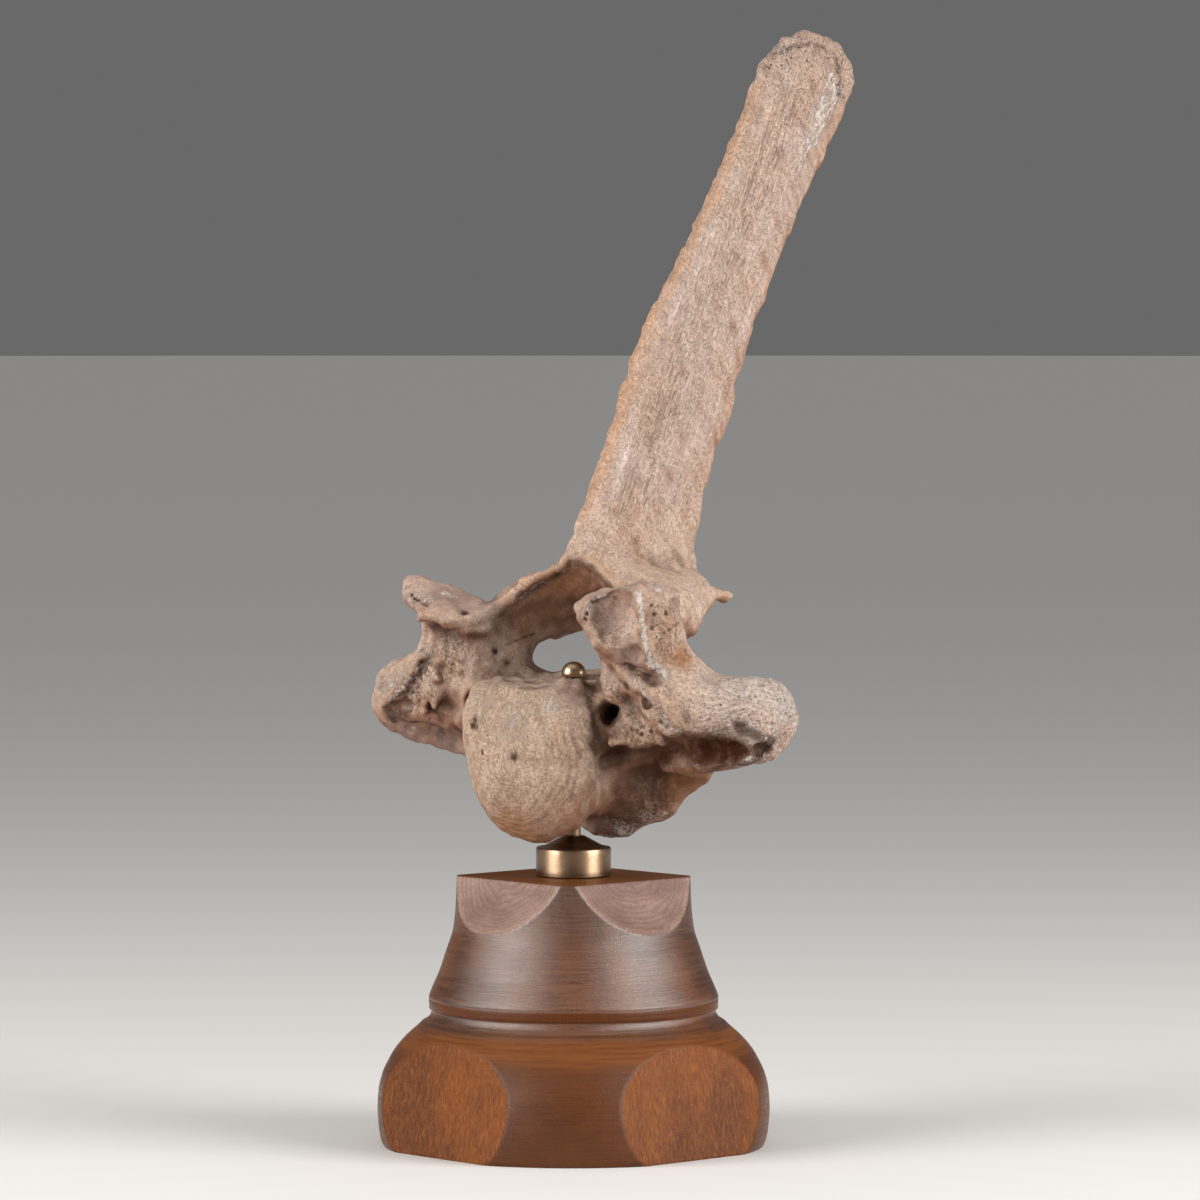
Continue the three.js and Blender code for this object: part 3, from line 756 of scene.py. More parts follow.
# Dark marks: real holes, pits and cracks, and painted shadow in the hollows, under the right end's crest, in
# the bowl and fovea and under the arch.
DARK_MARK_AND_SHADE_SPOTS = [
    (43, -19, 169, 6.5, 0.9), (48, -16, 168, 8, 0.45), (30, -27, 173, 8, 0.55), (36, -24, 171, 6, 0.6),
    (-45, -24, 194, 10, 0.75), (-38, -23, 192, 8, 0.6), (-50, -26, 193, 6, 0.8), (-47, -24, 188, 6, 0.5),
    (-89, -7, 158.5, 5, 0.9), (-83, -8, 158.5, 5, 0.8), (-55, -5, 154.5, 4, 0.9), (50, -23, 183, 3.6, 0.9),
    (55, -20, 180, 3, 0.85), (46, -21, 176, 3, 0.9), (54, -20, 170, 3, 0.8), (53, -25, 187, 5, 0.3),
    (98, -2, 153, 6, 1), (93, -7, 160, 9, 0.5), (102, 2, 156, 7, 0.5), (33, -10, 148, 9, 0.85),
    (40, -8, 148, 9, 0.8), (50, -6, 148, 9, 0.65), (60, -6, 150, 7, 0.5), (70, -8, 153, 8, 0.5),
    (80, -9, 154, 8, 0.4), (34, 12, 137, 14, 0.3), (25, 4, 137, 9, 0.4), (6, 141, 416, 8, 0.35),
    (8, 148, 405, 8, 0.35), (-22, 3, 206, 14, 0.15), (9, -43, 149, 3, 0.8), (-12, -43, 162, 2.6, 0.9),
    (-10, -44, 159.5, 2.2, 0.9), (-8, -44, 150, 1.8, 0.9), (-46, -33, 204, 2.2, 0.8),
    (-34, -24, 201, 2.4, 0.85), (-37, -31, 200, 1.5, 0.7), (-30, -12, 186, 2, 0.8), (-27, -8, 181, 3, 0.5),
    (-46, -21, 179, 2, 0.5), (5, 13, 249, 10, 0.2), (2, 13, 253, 6, 0.25), (8, 29, 262, 10, 0.25),
    (2, -27, 177, 5, 0.5), (66, -13, 162, 4, 0.5), (62, -15, 160, 4, 0.5), (36, -30, 207, 4, 0.35),
    (41, -29, 201, 7, 0.35), (62, -24, 200, 4, 0.35), (61, -22, 193, 4, 0.35), (92, -7.5, 162, 5, 0.7),
]
DARK_MARK_AND_SHADE_LINES = [
    ([(38, -31, 209.5), (42, -28, 212.5), (50, -26, 214.5), (60, -26, 214)], 1.1, 0.55),
    ([(-90, -6, 159), (-84, -8, 159), (-77, -11, 159.5)], 2.6, 0.7),
    ([(-90, -5, 155.5), (-68, -8, 157)], 1.8, 0.8), ([(90, -8, 162), (96, -5, 159), (99, 0, 156)], 4, 0.8),
    ([(1, 110, 409), (2, 115, 415), (4, 122, 418), (4.5, 134, 420), (6, 141, 417.5)], 2.4, 0.65),
    ([(7, 146, 414), (8, 148, 407), (7, 149, 400)], 3, 0.6),
    ([(6, -36.6, 174.3), (13.6, -36.2, 174), (17, -33, 175.2)], 1.7, 0.6),
    ([(29, -21.5, 166), (30, -22, 158), (29.5, -20.5, 151), (29, -19, 143), (26.5, -17.4, 136)], 1, 0.6),
    ([(-28.6, -7.5, 187.7), (-27.7, -2.5, 189.3), (-27, 2, 190.5), (-26, 6.7, 192.3)], 0.9, 0.7),
    ([(1, 9, 240), (3, 40, 296), (3, 62, 332)], 2.4, 0.3), ([(45, -27, 209), (48, -28, 204)], 1.2, 0.6),
]
PALE_SPOTS = [
    (88, 2, 173, 16, 0.55), (99, 8, 171, 13, 0.65), (78, -8, 166, 8, 0.35), (95, -7, 151, 4, 0.2),
    (-88, -9, 172, 12, 0.6), (-80, -13, 174, 11, 0.55), (-72, -16, 178, 9, 0.5), (-92, -6, 166, 7, 0.5),
    (-54, -31, 206, 6, 0.5), (-48, -31, 205, 4, 0.6), (-45, -22, 207, 4, 0.7), (-43, -21, 206, 3, 0.6),
    (8, -40, 162, 13, 0.4), (-8, -39, 168, 8, 0.45), (20, -37, 168, 8, 0.5), (34, -16, 187, 6, 0.5),
    (-44, -21, 186, 5, 0.5), (-38, -19, 182, 4, 0.45), (66, -14, 163, 6, 0.55), (60, -17, 160, 5, 0.4),
    (8, 137, 393, 9, 0.7), (8, 144, 401, 9, 0.65), (8, 129, 382, 7, 0.5), (3, 118, 418, 7, 0.45),
    (24, 17, 124, 8, 0.5), (10, 17, 118, 9, 0.55), (-48, -33, 200, 5, 0.4), (-58, -20, 184, 4, 0.5),
]
PALE_LINES = [
    ([(56, -28, 213), (59, -29.5, 211), (60.8, -30.3, 207)], 2.2, 0.85),
    ([(60.8, -30.3, 207), (61.5, -29.7, 201.5), (61.8, -29.2, 197.3), (61.2, -28, 192)], 1.8, 0.85),
    ([(61.2, -28, 192), (61.5, -26, 187.8), (59, -22.9, 185.1)], 2.2, 0.8),
    ([(55, -26, 212), (55.5, -26, 207), (54.5, -25, 202), (56, -26, 197)], 1.6, 0.6),
    ([(59, -22.9, 185.1), (60, -20, 183.2), (61.5, -16.8, 180.5)], 2.6, 0.8),
    ([(36, -34.5, 201), (39, -34, 206), (41, -30.5, 210), (48.5, -25, 213),
      (58, -24, 214), (63, -21.5, 212)], 1.8, 0.7),
    ([(50.7, -22.6, 178), (57, -22, 172.4), (60, -18, 166.5), (66, -16, 160)], 4.2, 0.44),
    ([(-3, 19, 114.5), (5, 18, 115.8), (16, 18, 120.5), (30, 19, 125.6)], 2.4, 0.6),
    ([(30.2, -20.5, 153), (30, -19.6, 145), (28.4, -18, 137.5)], 1.5, 0.6),
    ([(64, -8, 148), (74, -9, 146), (86, -5, 148), (94, -5, 150)], 2, 0.6),
    ([(-60.6, -20.6, 179.7), (-66, -20, 175), (-72, -18.7, 170.5), (-83, -15.4, 164.3)], 1.6, 0.6),
    ([(-45, -33, 201), (-36, -31, 198), (-31, -22, 197), (-31, -8, 202),
      (-21, -2, 210), (-3, 0, 219)], 2, 0.8), ([(7, 148, 402), (8, 132, 380)], 3.4, 0.6),
    ([(8, 142, 408), (8, 124, 370)], 1.8, 0.7), ([(2, 14, 246), (2, 40, 291)], 1.2, 0.35),
    ([(1, 84, 368), (1, 55, 328)], 1.3, 0.6), ([(-95, -6, 156), (-80, -5, 150), (-57, -5, 146)], 1.4, 0.5),
    ([(72, -12, 160), (88, -9, 160), (98, -3, 158)], 1.6, 0.5),
]
OCHRE_SPOTS = [
    (10, 22, 232, 20, 0.4), (9, 48, 228, 16, 0.3), (65, -12, 187, 9, 0.75), (66, -16, 199, 9, 0.6),
    (42, 13, 140, 18, 0.8), (34, 6, 134, 12, 0.6), (0, -30, 121, 16, 0.7), (20, -26, 128, 10, 0.4),
    (60, 18, 143, 16, 0.7), (-57, -18, 171, 4, 0.6), (90, -8, 167, 3, 0.9), (101, 4, 160, 3, 0.8),
    (-96, -6, 166, 5, 0.5), (-30, 10, 203, 16, 0.7), (-25, 0, 195, 14, 0.6), (-10, 6, 212, 14, 0.6),
    (8, -26, 178, 5, 0.6), (40, 5, 206, 14, 0.4),
]
# Grey-mauve: the tone of the joint faces, and painted shade on faces under rims, in the bowl and fovea, on
# the pillar and under the arch.
MAUVE_AND_SHADE_SPOTS = [
    (-42, -24, 206, 14, 0.7), (-85, 0, 150, 16, 0.8), (-68, 2, 148, 14, 0.8), (-50, -3, 148, 10, 0.7),
    (41, -29, 206, 9, 0.75), (36, -30, 203, 7, 0.6), (78, -8, 153, 16, 0.5), (42, -8, 148, 18, 0.5),
    (43, -31, 203, 11, 0.8), (50, -25, 188, 11, 0.7), (2, -27, 177, 6, 0.7), (-27, -8, 181, 6, 0.4),
    (26, -30, 171, 9, 0.5), (80, -6, 175, 10, 0.35),
]
# painted shade: dark brown laid over the sheltered hollows under the left process and on the centrum's side
HOLLOW_SHADE_SPOTS = [
    (66, -6, 151, 11, 1), (72, -6, 152, 12, 1.2), (78, -6, 152.5, 12, 1.2), (84, -5, 153, 12, 1.2),
    (89, -6, 153, 9, 1.1), (62, -6, 150, 9, 1), (50, -6, 149, 10, 1), (40, -8, 148, 11, 1),
    (32, -10, 149, 9, 1), (34, 10, 137, 14, 0.65), (46, 14, 137, 14, 0.65), (22, 6, 137, 10, 0.6),
    (60, 18, 141, 12, 0.5), (30, -12, 149, 7, 1), (45, -2, 149, 10, 1),
]
FIBROUS_SPOTS = [
    (-66, -17, 169, 12, 1), (-60, -18, 176, 8, 0.8), (-46, -20, 183, 10, 0.9), (-40, -22, 189, 8, 0.8),
    (66, -16, 195, 14, 0.8), (58, -20, 176, 12, 0.6), (64, -14, 162, 10, 0.8), (92, -2, 162, 12, 0.6),
    (36, -22, 174, 9, 0.8), (48, -14, 160, 12, 1), (30, 10, 126, 14, 0.7), (85, -6, 166, 14, 0.4),
]
POROUS_LINES = [
    ([(36, -34.5, 201), (39, -34, 206), (41, -30, 210.5), (48.5, -24.6, 213.3), (60, -23, 213.8)], 2.6, 0.9),
    ([(63, -22, 207), (62.5, -21, 196), (61, -20, 189)], 4.5, 0.7),
    ([(-57, -31, 209), (-49, -33, 205), (-45, -34, 200)], 4, 0.7),
    ([(82, -11, 163), (90, -8.5, 163), (96, -6, 161.8), (98, -2, 158)], 5, 0.9),
    ([(2, 112, 409), (3, 122, 416), (6, 134, 418), (8, 146, 411), (8, 149, 401)], 7, 1),
]
# pits sunk into the mesh itself: place, radius, depth
SUNK_PITS = [
    (8.1, -42, 148.2, 3, 1.3), (-13.5, -41.6, 161.2, 2.2, 1.6), (-15, -41.7, 159, 2, 1.4),
    (-8, -43, 149.5, 1.9, 1.3), (-12.5, -42.3, 158.5, 1.8, 1.2), (-55.5, -31.6, 208, 2, 1.3),
    (-53, -32.6, 206.8, 1.9, 1.3), (-50.6, -32.7, 206, 2, 1.4), (-48.2, -32.6, 204.3, 1.9, 1.3),
    (-46, -32.1, 203, 2.2, 1.5), (-33, -25.3, 201, 2.3, 1.4), (-30, -11, 185.5, 2, 1.2),
    (-28, -7, 181, 2.6, 1), (36.6, -34.9, 200.4, 1.8, 1.3), (38, -35, 203, 1.8, 1.4),
    (39.4, -34, 205.8, 1.8, 1.4), (40.4, -32.2, 208, 1.9, 1.5), (42, -29.4, 210, 1.9, 1.4),
    (44.6, -27, 211.3, 2, 1.5), (47.4, -25.8, 211.9, 1.8, 1.3), (50, -25.3, 212.5, 2, 1.5),
    (52.6, -25.4, 213, 1.7, 1.2), (55, -26, 213.2, 1.7, 1.3), (61, -24.5, 212, 1.7, 1.2),
    (62.8, -22.5, 210.5, 1.8, 1.2), (62.9, -25.9, 206.6, 1.8, 1.2), (62.6, -24.4, 203, 2, 1.3),
    (61.7, -24.4, 198.1, 2.2, 1.4), (61.1, -21.7, 193.7, 2.2, 1.4), (64.1, -18.8, 203.6, 2, 1.2),
    (64, -17, 197.4, 2, 1.2), (62.7, -17.9, 191.5, 2, 1.2), (96.1, 1.5, 153.5, 4, 1.6),
    (95, -4, 156, 2.6, 1.4), (60, -18, 163, 2, 1.1), (55, -19.5, 169.5, 2.4, 1.4), (47.2, -15, 157.4, 2, 1.2),
    (52, -15, 158.5, 1.8, 1.1),
]


def spots(points, marks):
    """Soft round marks, the strongest one at each point."""
    total = np.zeros(len(points))
    for x, y, z, radius, strength in marks:
        away = ((points - (x, y, z)) ** 2).sum(1)
        total = np.maximum(total, strength * np.exp(-away / (2 * (radius * 0.6) ** 2)))
    return total


def strokes(points, lines):
    """Soft marks along lines."""
    total = np.zeros(len(points))
    for path, radius, strength in lines:
        for start, end in zip(path, path[1:]):
            a = np.array(start, float)
            d = end - a
            h = np.clip(((points - a) @ d) / (d @ d), 0, 1)
            away = ((points - a - h[:, None] * d) ** 2).sum(1)
            total = np.maximum(total, strength * np.exp(-away / (2 * (radius * 0.6) ** 2)))
    return total


def openness(points, normals, reaches):
    """How free the space over each point is, from 0 in a crevice to 1 in the open."""
    total = 0
    for reach in reaches:
        total = total + np.clip(at(points + normals * reach) / reach, 0, 1)
    return total / len(reaches)


def thinness(points, normals, depth):
    """Near 1 where little bone lies under the surface, as at edges and rims."""
    return 1 - np.clip(-at(points - normals * depth) / depth, 0, 1)


BLADE_BEGINS = 222
BLADE_FULL = 246
HEAD_UP = 149
HEAD_REACH = 31
RING_UP = 153
RING_STEP = 4.6


def blade_share(points):
    return ramp(points[:, 2], BLADE_BEGINS, BLADE_FULL)


def span_share(points):
    """From 0 at the blade's front edge to 1 at its back edge."""
    heights, fore, aft, _ = (np.array(q, float) for q in zip(*SPINE_EDGES))
    front = np.interp(points[:, 2], heights, fore)
    return (points[:, 1] - front) / (np.interp(points[:, 2], heights, aft) - front)


def tip_share(points):
    along = (points[:, 1] - TIP_TAIL) * 0.17 + (points[:, 2] - TIP_UP)
    return ramp(along, -14, 10)


def head_share(points):
    """The round front of the centrum."""
    x, y, z = points.T
    r = np.sqrt(x * x + ((z - HEAD_UP) * 0.82) ** 2)
    return ramp(-y, 18, 26) * ramp(-r, -HEAD_REACH, -HEAD_REACH + 6)


def side_share(points):
    """The outer end of the left process."""
    x, y, z = points.T
    return ramp(x, 66, 80) * ramp(-z, -196, -186)


def joint_share(points):
    """The smooth upper faces of the front joints."""
    x, y, z = points.T
    return ramp(z, 196, 203) * ramp(-y, -4, 4) * ramp(np.abs(x), 24, 30)


def blade_frame(points):
    """Across, side and along coordinates of the leaning blade."""
    c, s = math.cos(math.radians(SPINE_LEAN)), math.sin(math.radians(SPINE_LEAN))
    x, y, z = points.T
    return np.stack([y * c - z * s, x, y * s + z * c], 1)


def ring_distance(points):
    """How far out from the head's middle each point lies, unevenly."""
    x, y, z = points.T
    return np.sqrt((x - 2) ** 2 + ((z - RING_UP) * 0.8) ** 2) + 0.8 * lumps(points, 10, 41)


def ring_share(points):
    """Where growth rings show: the head's lower half and its left side."""
    x, y, z = points.T
    r = ring_distance(points)
    return ramp(r, 14, 24) * ramp(x * 0.6 - (z - 150), -4, 12) * ramp(-y, 8, 16) * ramp(-np.abs(x), -32, -29)


def relief(points, masks):
    """Height of the fine form over the smooth one, in millimetres."""
    blade, fibrous, thin, tip = masks["blade"], masks["fibrous"], masks["thin"], masks["tip"]
    height = (1 - 0.45 * blade) * 0.3 * rough(points, 17, 2, 3)
    height += (1 - 0.7 * blade) * 0.2 * rough(points, 6, 2, 5)
    height += blade * 0.14 * rough(blade_frame(points), (4, 4, 46), 3, 7)
    edges = (1 - blade) * thin * 0.6 * rough(points, 8, 3, 11)
    height += edges + blade * thin * 0.8 * rough(points, 11, 3, 19)
    height += (1 - blade) * (1 - masks["head"]) * (1 - masks["joint"]) * 0.3 * rough(points, 5, 3, 13)
    flakes = 1 - 2 * np.abs(lumps(points, (3, 3.6, 4.6), 31))
    height += fibrous * (0.9 * flakes + 0.8 * rough(points, (4.4, 4.4, 5.5), 2, 33) - 0.5)
    worn = masks["pale"] * ramp(lumps(points, 6, 43), -0.2, 0.3)
    height += tip * (0.5 * rough(points, 5, 3, 37) + 0.7 * worn)
    holes = ramp(-pits(points, 4.2, 23) - 0.15 * lumps(points, 6, 61), -0.42, -0.1)
    height -= masks["porous"] * (1.3 * holes + 0.3)
    height += masks["porous"] * 0.5 * rough(points, 3.4, 2, 29)
    height += 0.14 * masks["rings"] * np.sin(ring_distance(points) * 2 * math.pi / RING_STEP + 1)
    for pit in SUNK_PITS:
        height -= spots(points, [pit])
    return height


def bone_piece():
    points, normals, faces = bone_skin()
    open_near = openness(points, normals, (2, 4, 7))
    open_far = openness(points, normals, (9, 16, 26))
    thin = thinness(points, normals, 6)
    masks = {
        "blade": blade_share(points), "tip": tip_share(points), "head": head_share(points),
        "side": side_share(points), "joint": joint_share(points), "thin": ramp(thin, 0.25, 0.75),
        "dark": np.maximum(spots(points, DARK_MARK_AND_SHADE_SPOTS), strokes(points, DARK_MARK_AND_SHADE_LINES)),
        "sunk": spots(points, [(x, y, z, r * 0.85, 1.0) for x, y, z, r, depth in SUNK_PITS]),
        "pale": np.maximum(spots(points, PALE_SPOTS), strokes(points, PALE_LINES)),
        "ochre": spots(points, OCHRE_SPOTS), "mauve": spots(points, MAUVE_AND_SHADE_SPOTS),
        "fibrous": spots(points, FIBROUS_SPOTS), "rings": ring_share(points), "span": span_share(points),
        "ring_distance": ring_distance(points), "deep": spots(points, HOLLOW_SHADE_SPOTS),
    }
    porous = np.clip(masks["side"] * 0.6 + masks["tip"] * (0.45 + masks["thin"]), 0, 1)
    porous = porous * (1 - np.clip(masks["mauve"] * 1.5, 0, 1))
    masks["porous"] = np.maximum(porous, strokes(points, POROUS_LINES))
    raised = points + normals * relief(points, masks)[:, None]
    t = math.radians(VERTEBRA_TURN)
    x = raised[:, 0] * math.cos(t) - raised[:, 1] * math.sin(t)
    y = raised[:, 0] * math.sin(t) + raised[:, 1] * math.cos(t)
    made = mesh_object("bone", np.stack([x, y, raised[:, 2] + VERTEBRA_LIFT], 1), faces)
    give_attribute(made, "place", points)
    give_attribute(made, "blade_place", blade_frame(points))
    # painted shade: how shut in each point is, used to darken the colour in crevices
    give_attribute(made, "cavity", np.clip(1 - open_near, 0, 1))
    # painted shade: how enclosed each point is over a wider reach, used to darken sheltered places
    give_attribute(made, "shelter", np.clip(1 - open_far, 0, 1))
    # painted shade: stronger the more the surface faces down
    give_attribute(made, "under", ramp(-normals[:, 2], -0.1, 0.85))
    for name, mask in masks.items():
        give_attribute(made, name, mask)
    return made


BONE_MASKS = [
    "blade", "porous", "cavity", "thin", "head", "joint", "dark", "pale", "ochre", "mauve", "under",
    "fibrous", "shelter", "rings", "ring_distance", "span", "deep", "tip", "side", "sunk",
]


def bone_textures(tree):
    """The bone's masks and noises by name."""
    m = SimpleNamespace(**{name: attribute(tree, name) for name in BONE_MASKS})
    where = attribute(tree, "place", "Vector")
    m.where = where
    m.on_blade = attribute(tree, "blade_place", "Vector")
    m.broad = noise(where, 0.03, 4, 0.6)
    m.blotch = noise(where, 0.12, 6, 0.65)
    m.patch = noise(stretched(where, (1, 1, 0.7), (20, 0, 40)), 0.3, 6, 0.7)
    m.fine = noise(where, 1.1, 5, 0.75)
    m.dust = noise(where, 3.0, 4, 0.7)
    swirl = noise(where, 0.34, 4, 0.6, 2.2)
    m.lines = maths("ABSOLUTE", swirl - 0.5).ramp(0, 0.03, 1, 0)
    m.grain = noise(stretched(m.on_blade, (1, 1, 0.04)), 1.4, 5, 0.7)
    m.streak = noise(stretched(m.on_blade, (1, 1, 0.1)), 0.42, 5, 0.65)
    m.fibre = noise(stretched(where, (0.1, 1, 1), (0, 8, 0)), 1.0, 5, 0.7)
    m.nodule = noise(where, 0.6, 3, 0.6)
    m.flake = noise(stretched(m.on_blade, (1, 1, 0.35)), 0.8, 5, 0.7)
    return m


def skin_colour(m):
    """Plain bone: pinkish beige with fine paler and darker speckle and thin wrinkles."""
    plain = over((209, 179, 157), m.blade, (184, 157, 140))
    pinkish = over((214, 188, 172), m.blade, (189, 167, 154))
    calm = m.blade.ramp(0, 1, 1, 0.5)
    return layered(plain, [
        (m.broad.ramp(0.35, 0.65), pinkish),
        (m.blotch.ramp(0.48, 0.72, 0, 0.35), (178, 146, 124)),
        (m.patch.ramp(0.52, 0.75, 0, 0.3), (216, 196, 184)),
        (m.head * m.blotch.ramp(0.4, 0.6, 0.2, 0.6), (184, 158, 130)),
        (m.head * m.patch.ramp(0.38, 0.5, 0.5, 0), (152, 122, 98)),
        (m.lines * calm * m.patch.ramp(0.4, 0.6, 0.1, 0.5), (144, 110, 88)),
        (calm * m.fine.ramp(0.38, 0.47, 0.55, 0), (144, 110, 88)),
        (calm * m.fine.ramp(0.54, 0.64, 0, 0.55), (232, 216, 206)),
        (calm * m.dust.ramp(0.38, 0.46, 0.5, 0), (130, 98, 78)),
    ])


def blade_colour(colour, m):
    """The tall blade: lengthwise streaks in its front part, ochre edges and a pale line by the front one."""
    blade = m.blade * m.tip.ramp(0, 0.7, 1, 0.15)
    middle = m.span.ramp(0.1, 0.22) * m.span.ramp(0.36, 0.66, 1, 0.1)
    m.dark_grain = blade * middle * m.broad.ramp(0.4, 0.6, 1, 0.4) * m.grain.ramp(0.36, 0.46, 0.65, 0)
    off_line = maths("ABSOLUTE", m.span - m.streak * 0.2)
    line = blade * off_line.ramp(0.0, 0.025, 0.7, 0) * m.broad.ramp(0.4, 0.6, 0.1, 1)
    return layered(colour, [
        (blade * m.streak.ramp(0.5, 0.7, 0, 0.6), (212, 190, 180)),
        (blade * middle * m.streak.ramp(0.36, 0.5, 0.35, 0), (162, 134, 120)),
        (m.dark_grain, (134, 102, 84)),
        (blade * (m.span + m.streak * 0.08).ramp(0.02, 0.1, 0.6, 0), (200, 150, 110)),
        (line * m.grain.ramp(0.4, 0.6, 0.3, 1), (228, 212, 202)),
        (blade * (m.span + m.streak * 0.1).ramp(0.88, 1.05, 0, 0.6), (196, 152, 118)),
    ])


def marks_colour(colour, m):
    """Stains, growth rings, spongy places, painted shade in crevices, hollows and on the underside, and
    broken white mineral.
    """
    phase = m.ring_distance * 3.6 + m.fine * 2.5 + m.patch * 7
    m.ring = m.rings * maths("SINE", phase).ramp(-0.95, 0, 1, 0) * m.blotch.ramp(0.4, 0.6, 0.35, 1)
    speck = pores(stretched(m.on_blade, (1, 1, 0.5)), 0.6) + m.fine * 0.3
    m.speck = speck.ramp(0.2, 0.32, 1, 0) * m.patch.ramp(0.5, 0.64, 0, 0.7)
    big = pores(m.where, 0.4) + m.fine * 0.5
    small = pores(m.where, 1.0) + m.fine * 0.5
    small_holes = small.ramp(0.4, 0.55, 1, 0) * m.patch.ramp(0.42, 0.58)
    holes = maths("MAXIMUM", big.ramp(0.36, 0.5, 1, 0), small_holes)
    m.sponge = maths("MAXIMUM", m.porous, m.fibrous * 0.7) * holes
    crumbled = m.fine * 0.35 + m.dust * 0.2 + m.flake * 0.45
    m.whitened = broken(m.pale, crumbled, 0.2, 4) * m.sunk.ramp(0.3, 0.6, 0.9, 0)
    return layered(colour, [
        (m.thin * m.blotch.ramp(0.36, 0.6, 0.1, 0.6), (198, 158, 124)),
        # painted shade: brown on the downward faces, a little weaker on the head
        (m.under * m.head.ramp(0, 1, 0.85, 0.6), (130, 76, 43)),
        (broken(m.ochre, m.blotch), (170, 122, 86)),
        # grey-mauve of the joint faces, partly painted shade on faces under rims and in the hollows
        (broken(m.mauve, m.blotch) * 0.75, (150, 124, 114)),
        (m.joint * 0.35, (172, 140, 126)),
        (m.side * m.fibre.ramp(0.47, 0.6, 0.15, 0.8), (230, 214, 205)),
        (m.side * m.fibre.ramp(0.36, 0.45, 0.65, 0), (132, 100, 80)),
        (m.ring * 0.5, (124, 92, 68)),
        (m.fibrous * m.nodule.ramp(0.36, 0.5, 0.75, 0), (112, 80, 60)),
        (m.fibrous * m.nodule.ramp(0.54, 0.66, 0, 0.5), (214, 192, 174)),
        (m.speck, (98, 66, 48)),
        (m.sponge, (84, 54, 38)),
        # painted shade: dark brown in crevices
        (m.cavity.ramp(0.12, 0.6) * m.fine.ramp(0.2, 0.7, 1.0, 0.75) * 0.9, (76, 48, 34)),
        # painted shade: dark brown in the hollows under the left process and on the centrum's side
        (m.deep * m.patch.ramp(0.4, 0.6, 1, 0.85), (74, 40, 24)),
        (m.deep.ramp(0.9, 1.25, 0, 0.75), (54, 31, 21)),
        # painted shade: brown in sheltered places
        (m.shelter.ramp(0.35, 0.9) * 0.45, (98, 58, 32)),
        # dark holes, pits and cracks, partly painted shadow in hollows and under rims
        (broken(m.dark, m.fine, 0.28) * 0.85, (62, 38, 28)),
        (m.sunk.ramp(0.35, 0.75, 0, 0.9), (66, 40, 28)),
        (m.whitened, (226, 213, 205)),
    ])


def bone_height(m):
    calm = m.blade.ramp(0, 1, 1, 0.3)
    height = m.fine * calm + m.grain * m.blade * 0.8 + m.nodule * calm * 0.5 + m.dust * 0.25
    height = height + m.fibre * m.side * 0.8
    for sunk, depth in ((m.dark_grain, 0.5), (m.lines, 0.3), (m.speck, 0.6), (m.sponge, 1.3), (m.ring, 0.35)):
        height = height - sunk * depth
    return height + m.whitened * 0.35 + m.nodule * m.fibrous * 2.6


def bone_material():
    material, shader = start_material("fossil_bone")
    m = bone_textures(material.node_tree)
    colour = marks_colour(blade_colour(skin_colour(m), m), m)
    return finish_material(
        material, shader, bone_height(m), 0.95, Base_Color=colour,
        Roughness=m.blotch.ramp(0.3, 0.7, 0.6, 0.85), Specular_IOR_Level=m.deep.ramp(0, 1, 0.25, 0.04))


# Wooden stand: a turned form with four flats and four scoops

def smooth_profile(heights):
    """Radius by height, a smooth curve through the outline's points."""
    r, z = (np.array(q, float) for q in zip(*BASE_PROFILE))
    rise = np.diff(z)
    slope = np.diff(r) / rise
    tangent = np.empty(len(r))
    tangent[0], tangent[-1] = slope[0], slope[-1]
    same = slope[:-1] * slope[1:] > 0
    harmonic = 2 * slope[:-1] * slope[1:] / np.where(same, slope[:-1] + slope[1:], 1)
    tangent[1:-1] = np.where(same, harmonic, 0)
    k = np.clip(np.searchsorted(z, heights, side="right") - 1, 0, len(rise) - 1)
    t = (heights - z[k]) / rise[k]
    h00, h10 = 2 * t ** 3 - 3 * t ** 2 + 1, t ** 3 - 2 * t ** 2 + t
    h01, h11 = -2 * t ** 3 + 3 * t ** 2, t ** 3 - t ** 2
    return h00 * r[k] + h10 * rise[k] * tangent[k] + h01 * r[k + 1] + h11 * rise[k] * tangent[k + 1]


def stand_form(a, z):
    """The stand's radius at each angle and height, and the masks of its kinds of surface."""
    facing = np.maximum(np.abs(np.cos(a)), np.abs(np.sin(a)))
    lathe = smooth_profile(z)
    flat = (FLAT_OUT - FLAT_LEAN * z) / facing
    under_axis = BASE_TOP + SCOOP_AXIS_ABOVE - z
    drop = np.sqrt(np.maximum(SCOOP_RADIUS ** 2 - under_axis ** 2, 0))
    scoop = np.where(under_axis < SCOOP_RADIUS, (SCOOP_AXIS_OUT - drop) / facing, 1e3)
    unscooped = join(lathe, flat, EDGE_ROUND)
    masks = {
        "flat": ramp(lathe - flat, -0.2, 0.3), "scoop": ramp(unscooped - scoop, -0.2, 0.3),
        "worn": np.exp(-((unscooped - scoop - 0.5) / 0.8) ** 2),
        "band": ramp(z, BAND_LOW, BAND_LOW + 0.5) * ramp(-z, -BAND_HIGH, -BAND_HIGH + 0.5),
    }
    return join(unscooped, scoop, EDGE_ROUND), masks


CAP_SHARES = (0.12, 0.35, 0.6, 0.85, 0.985)


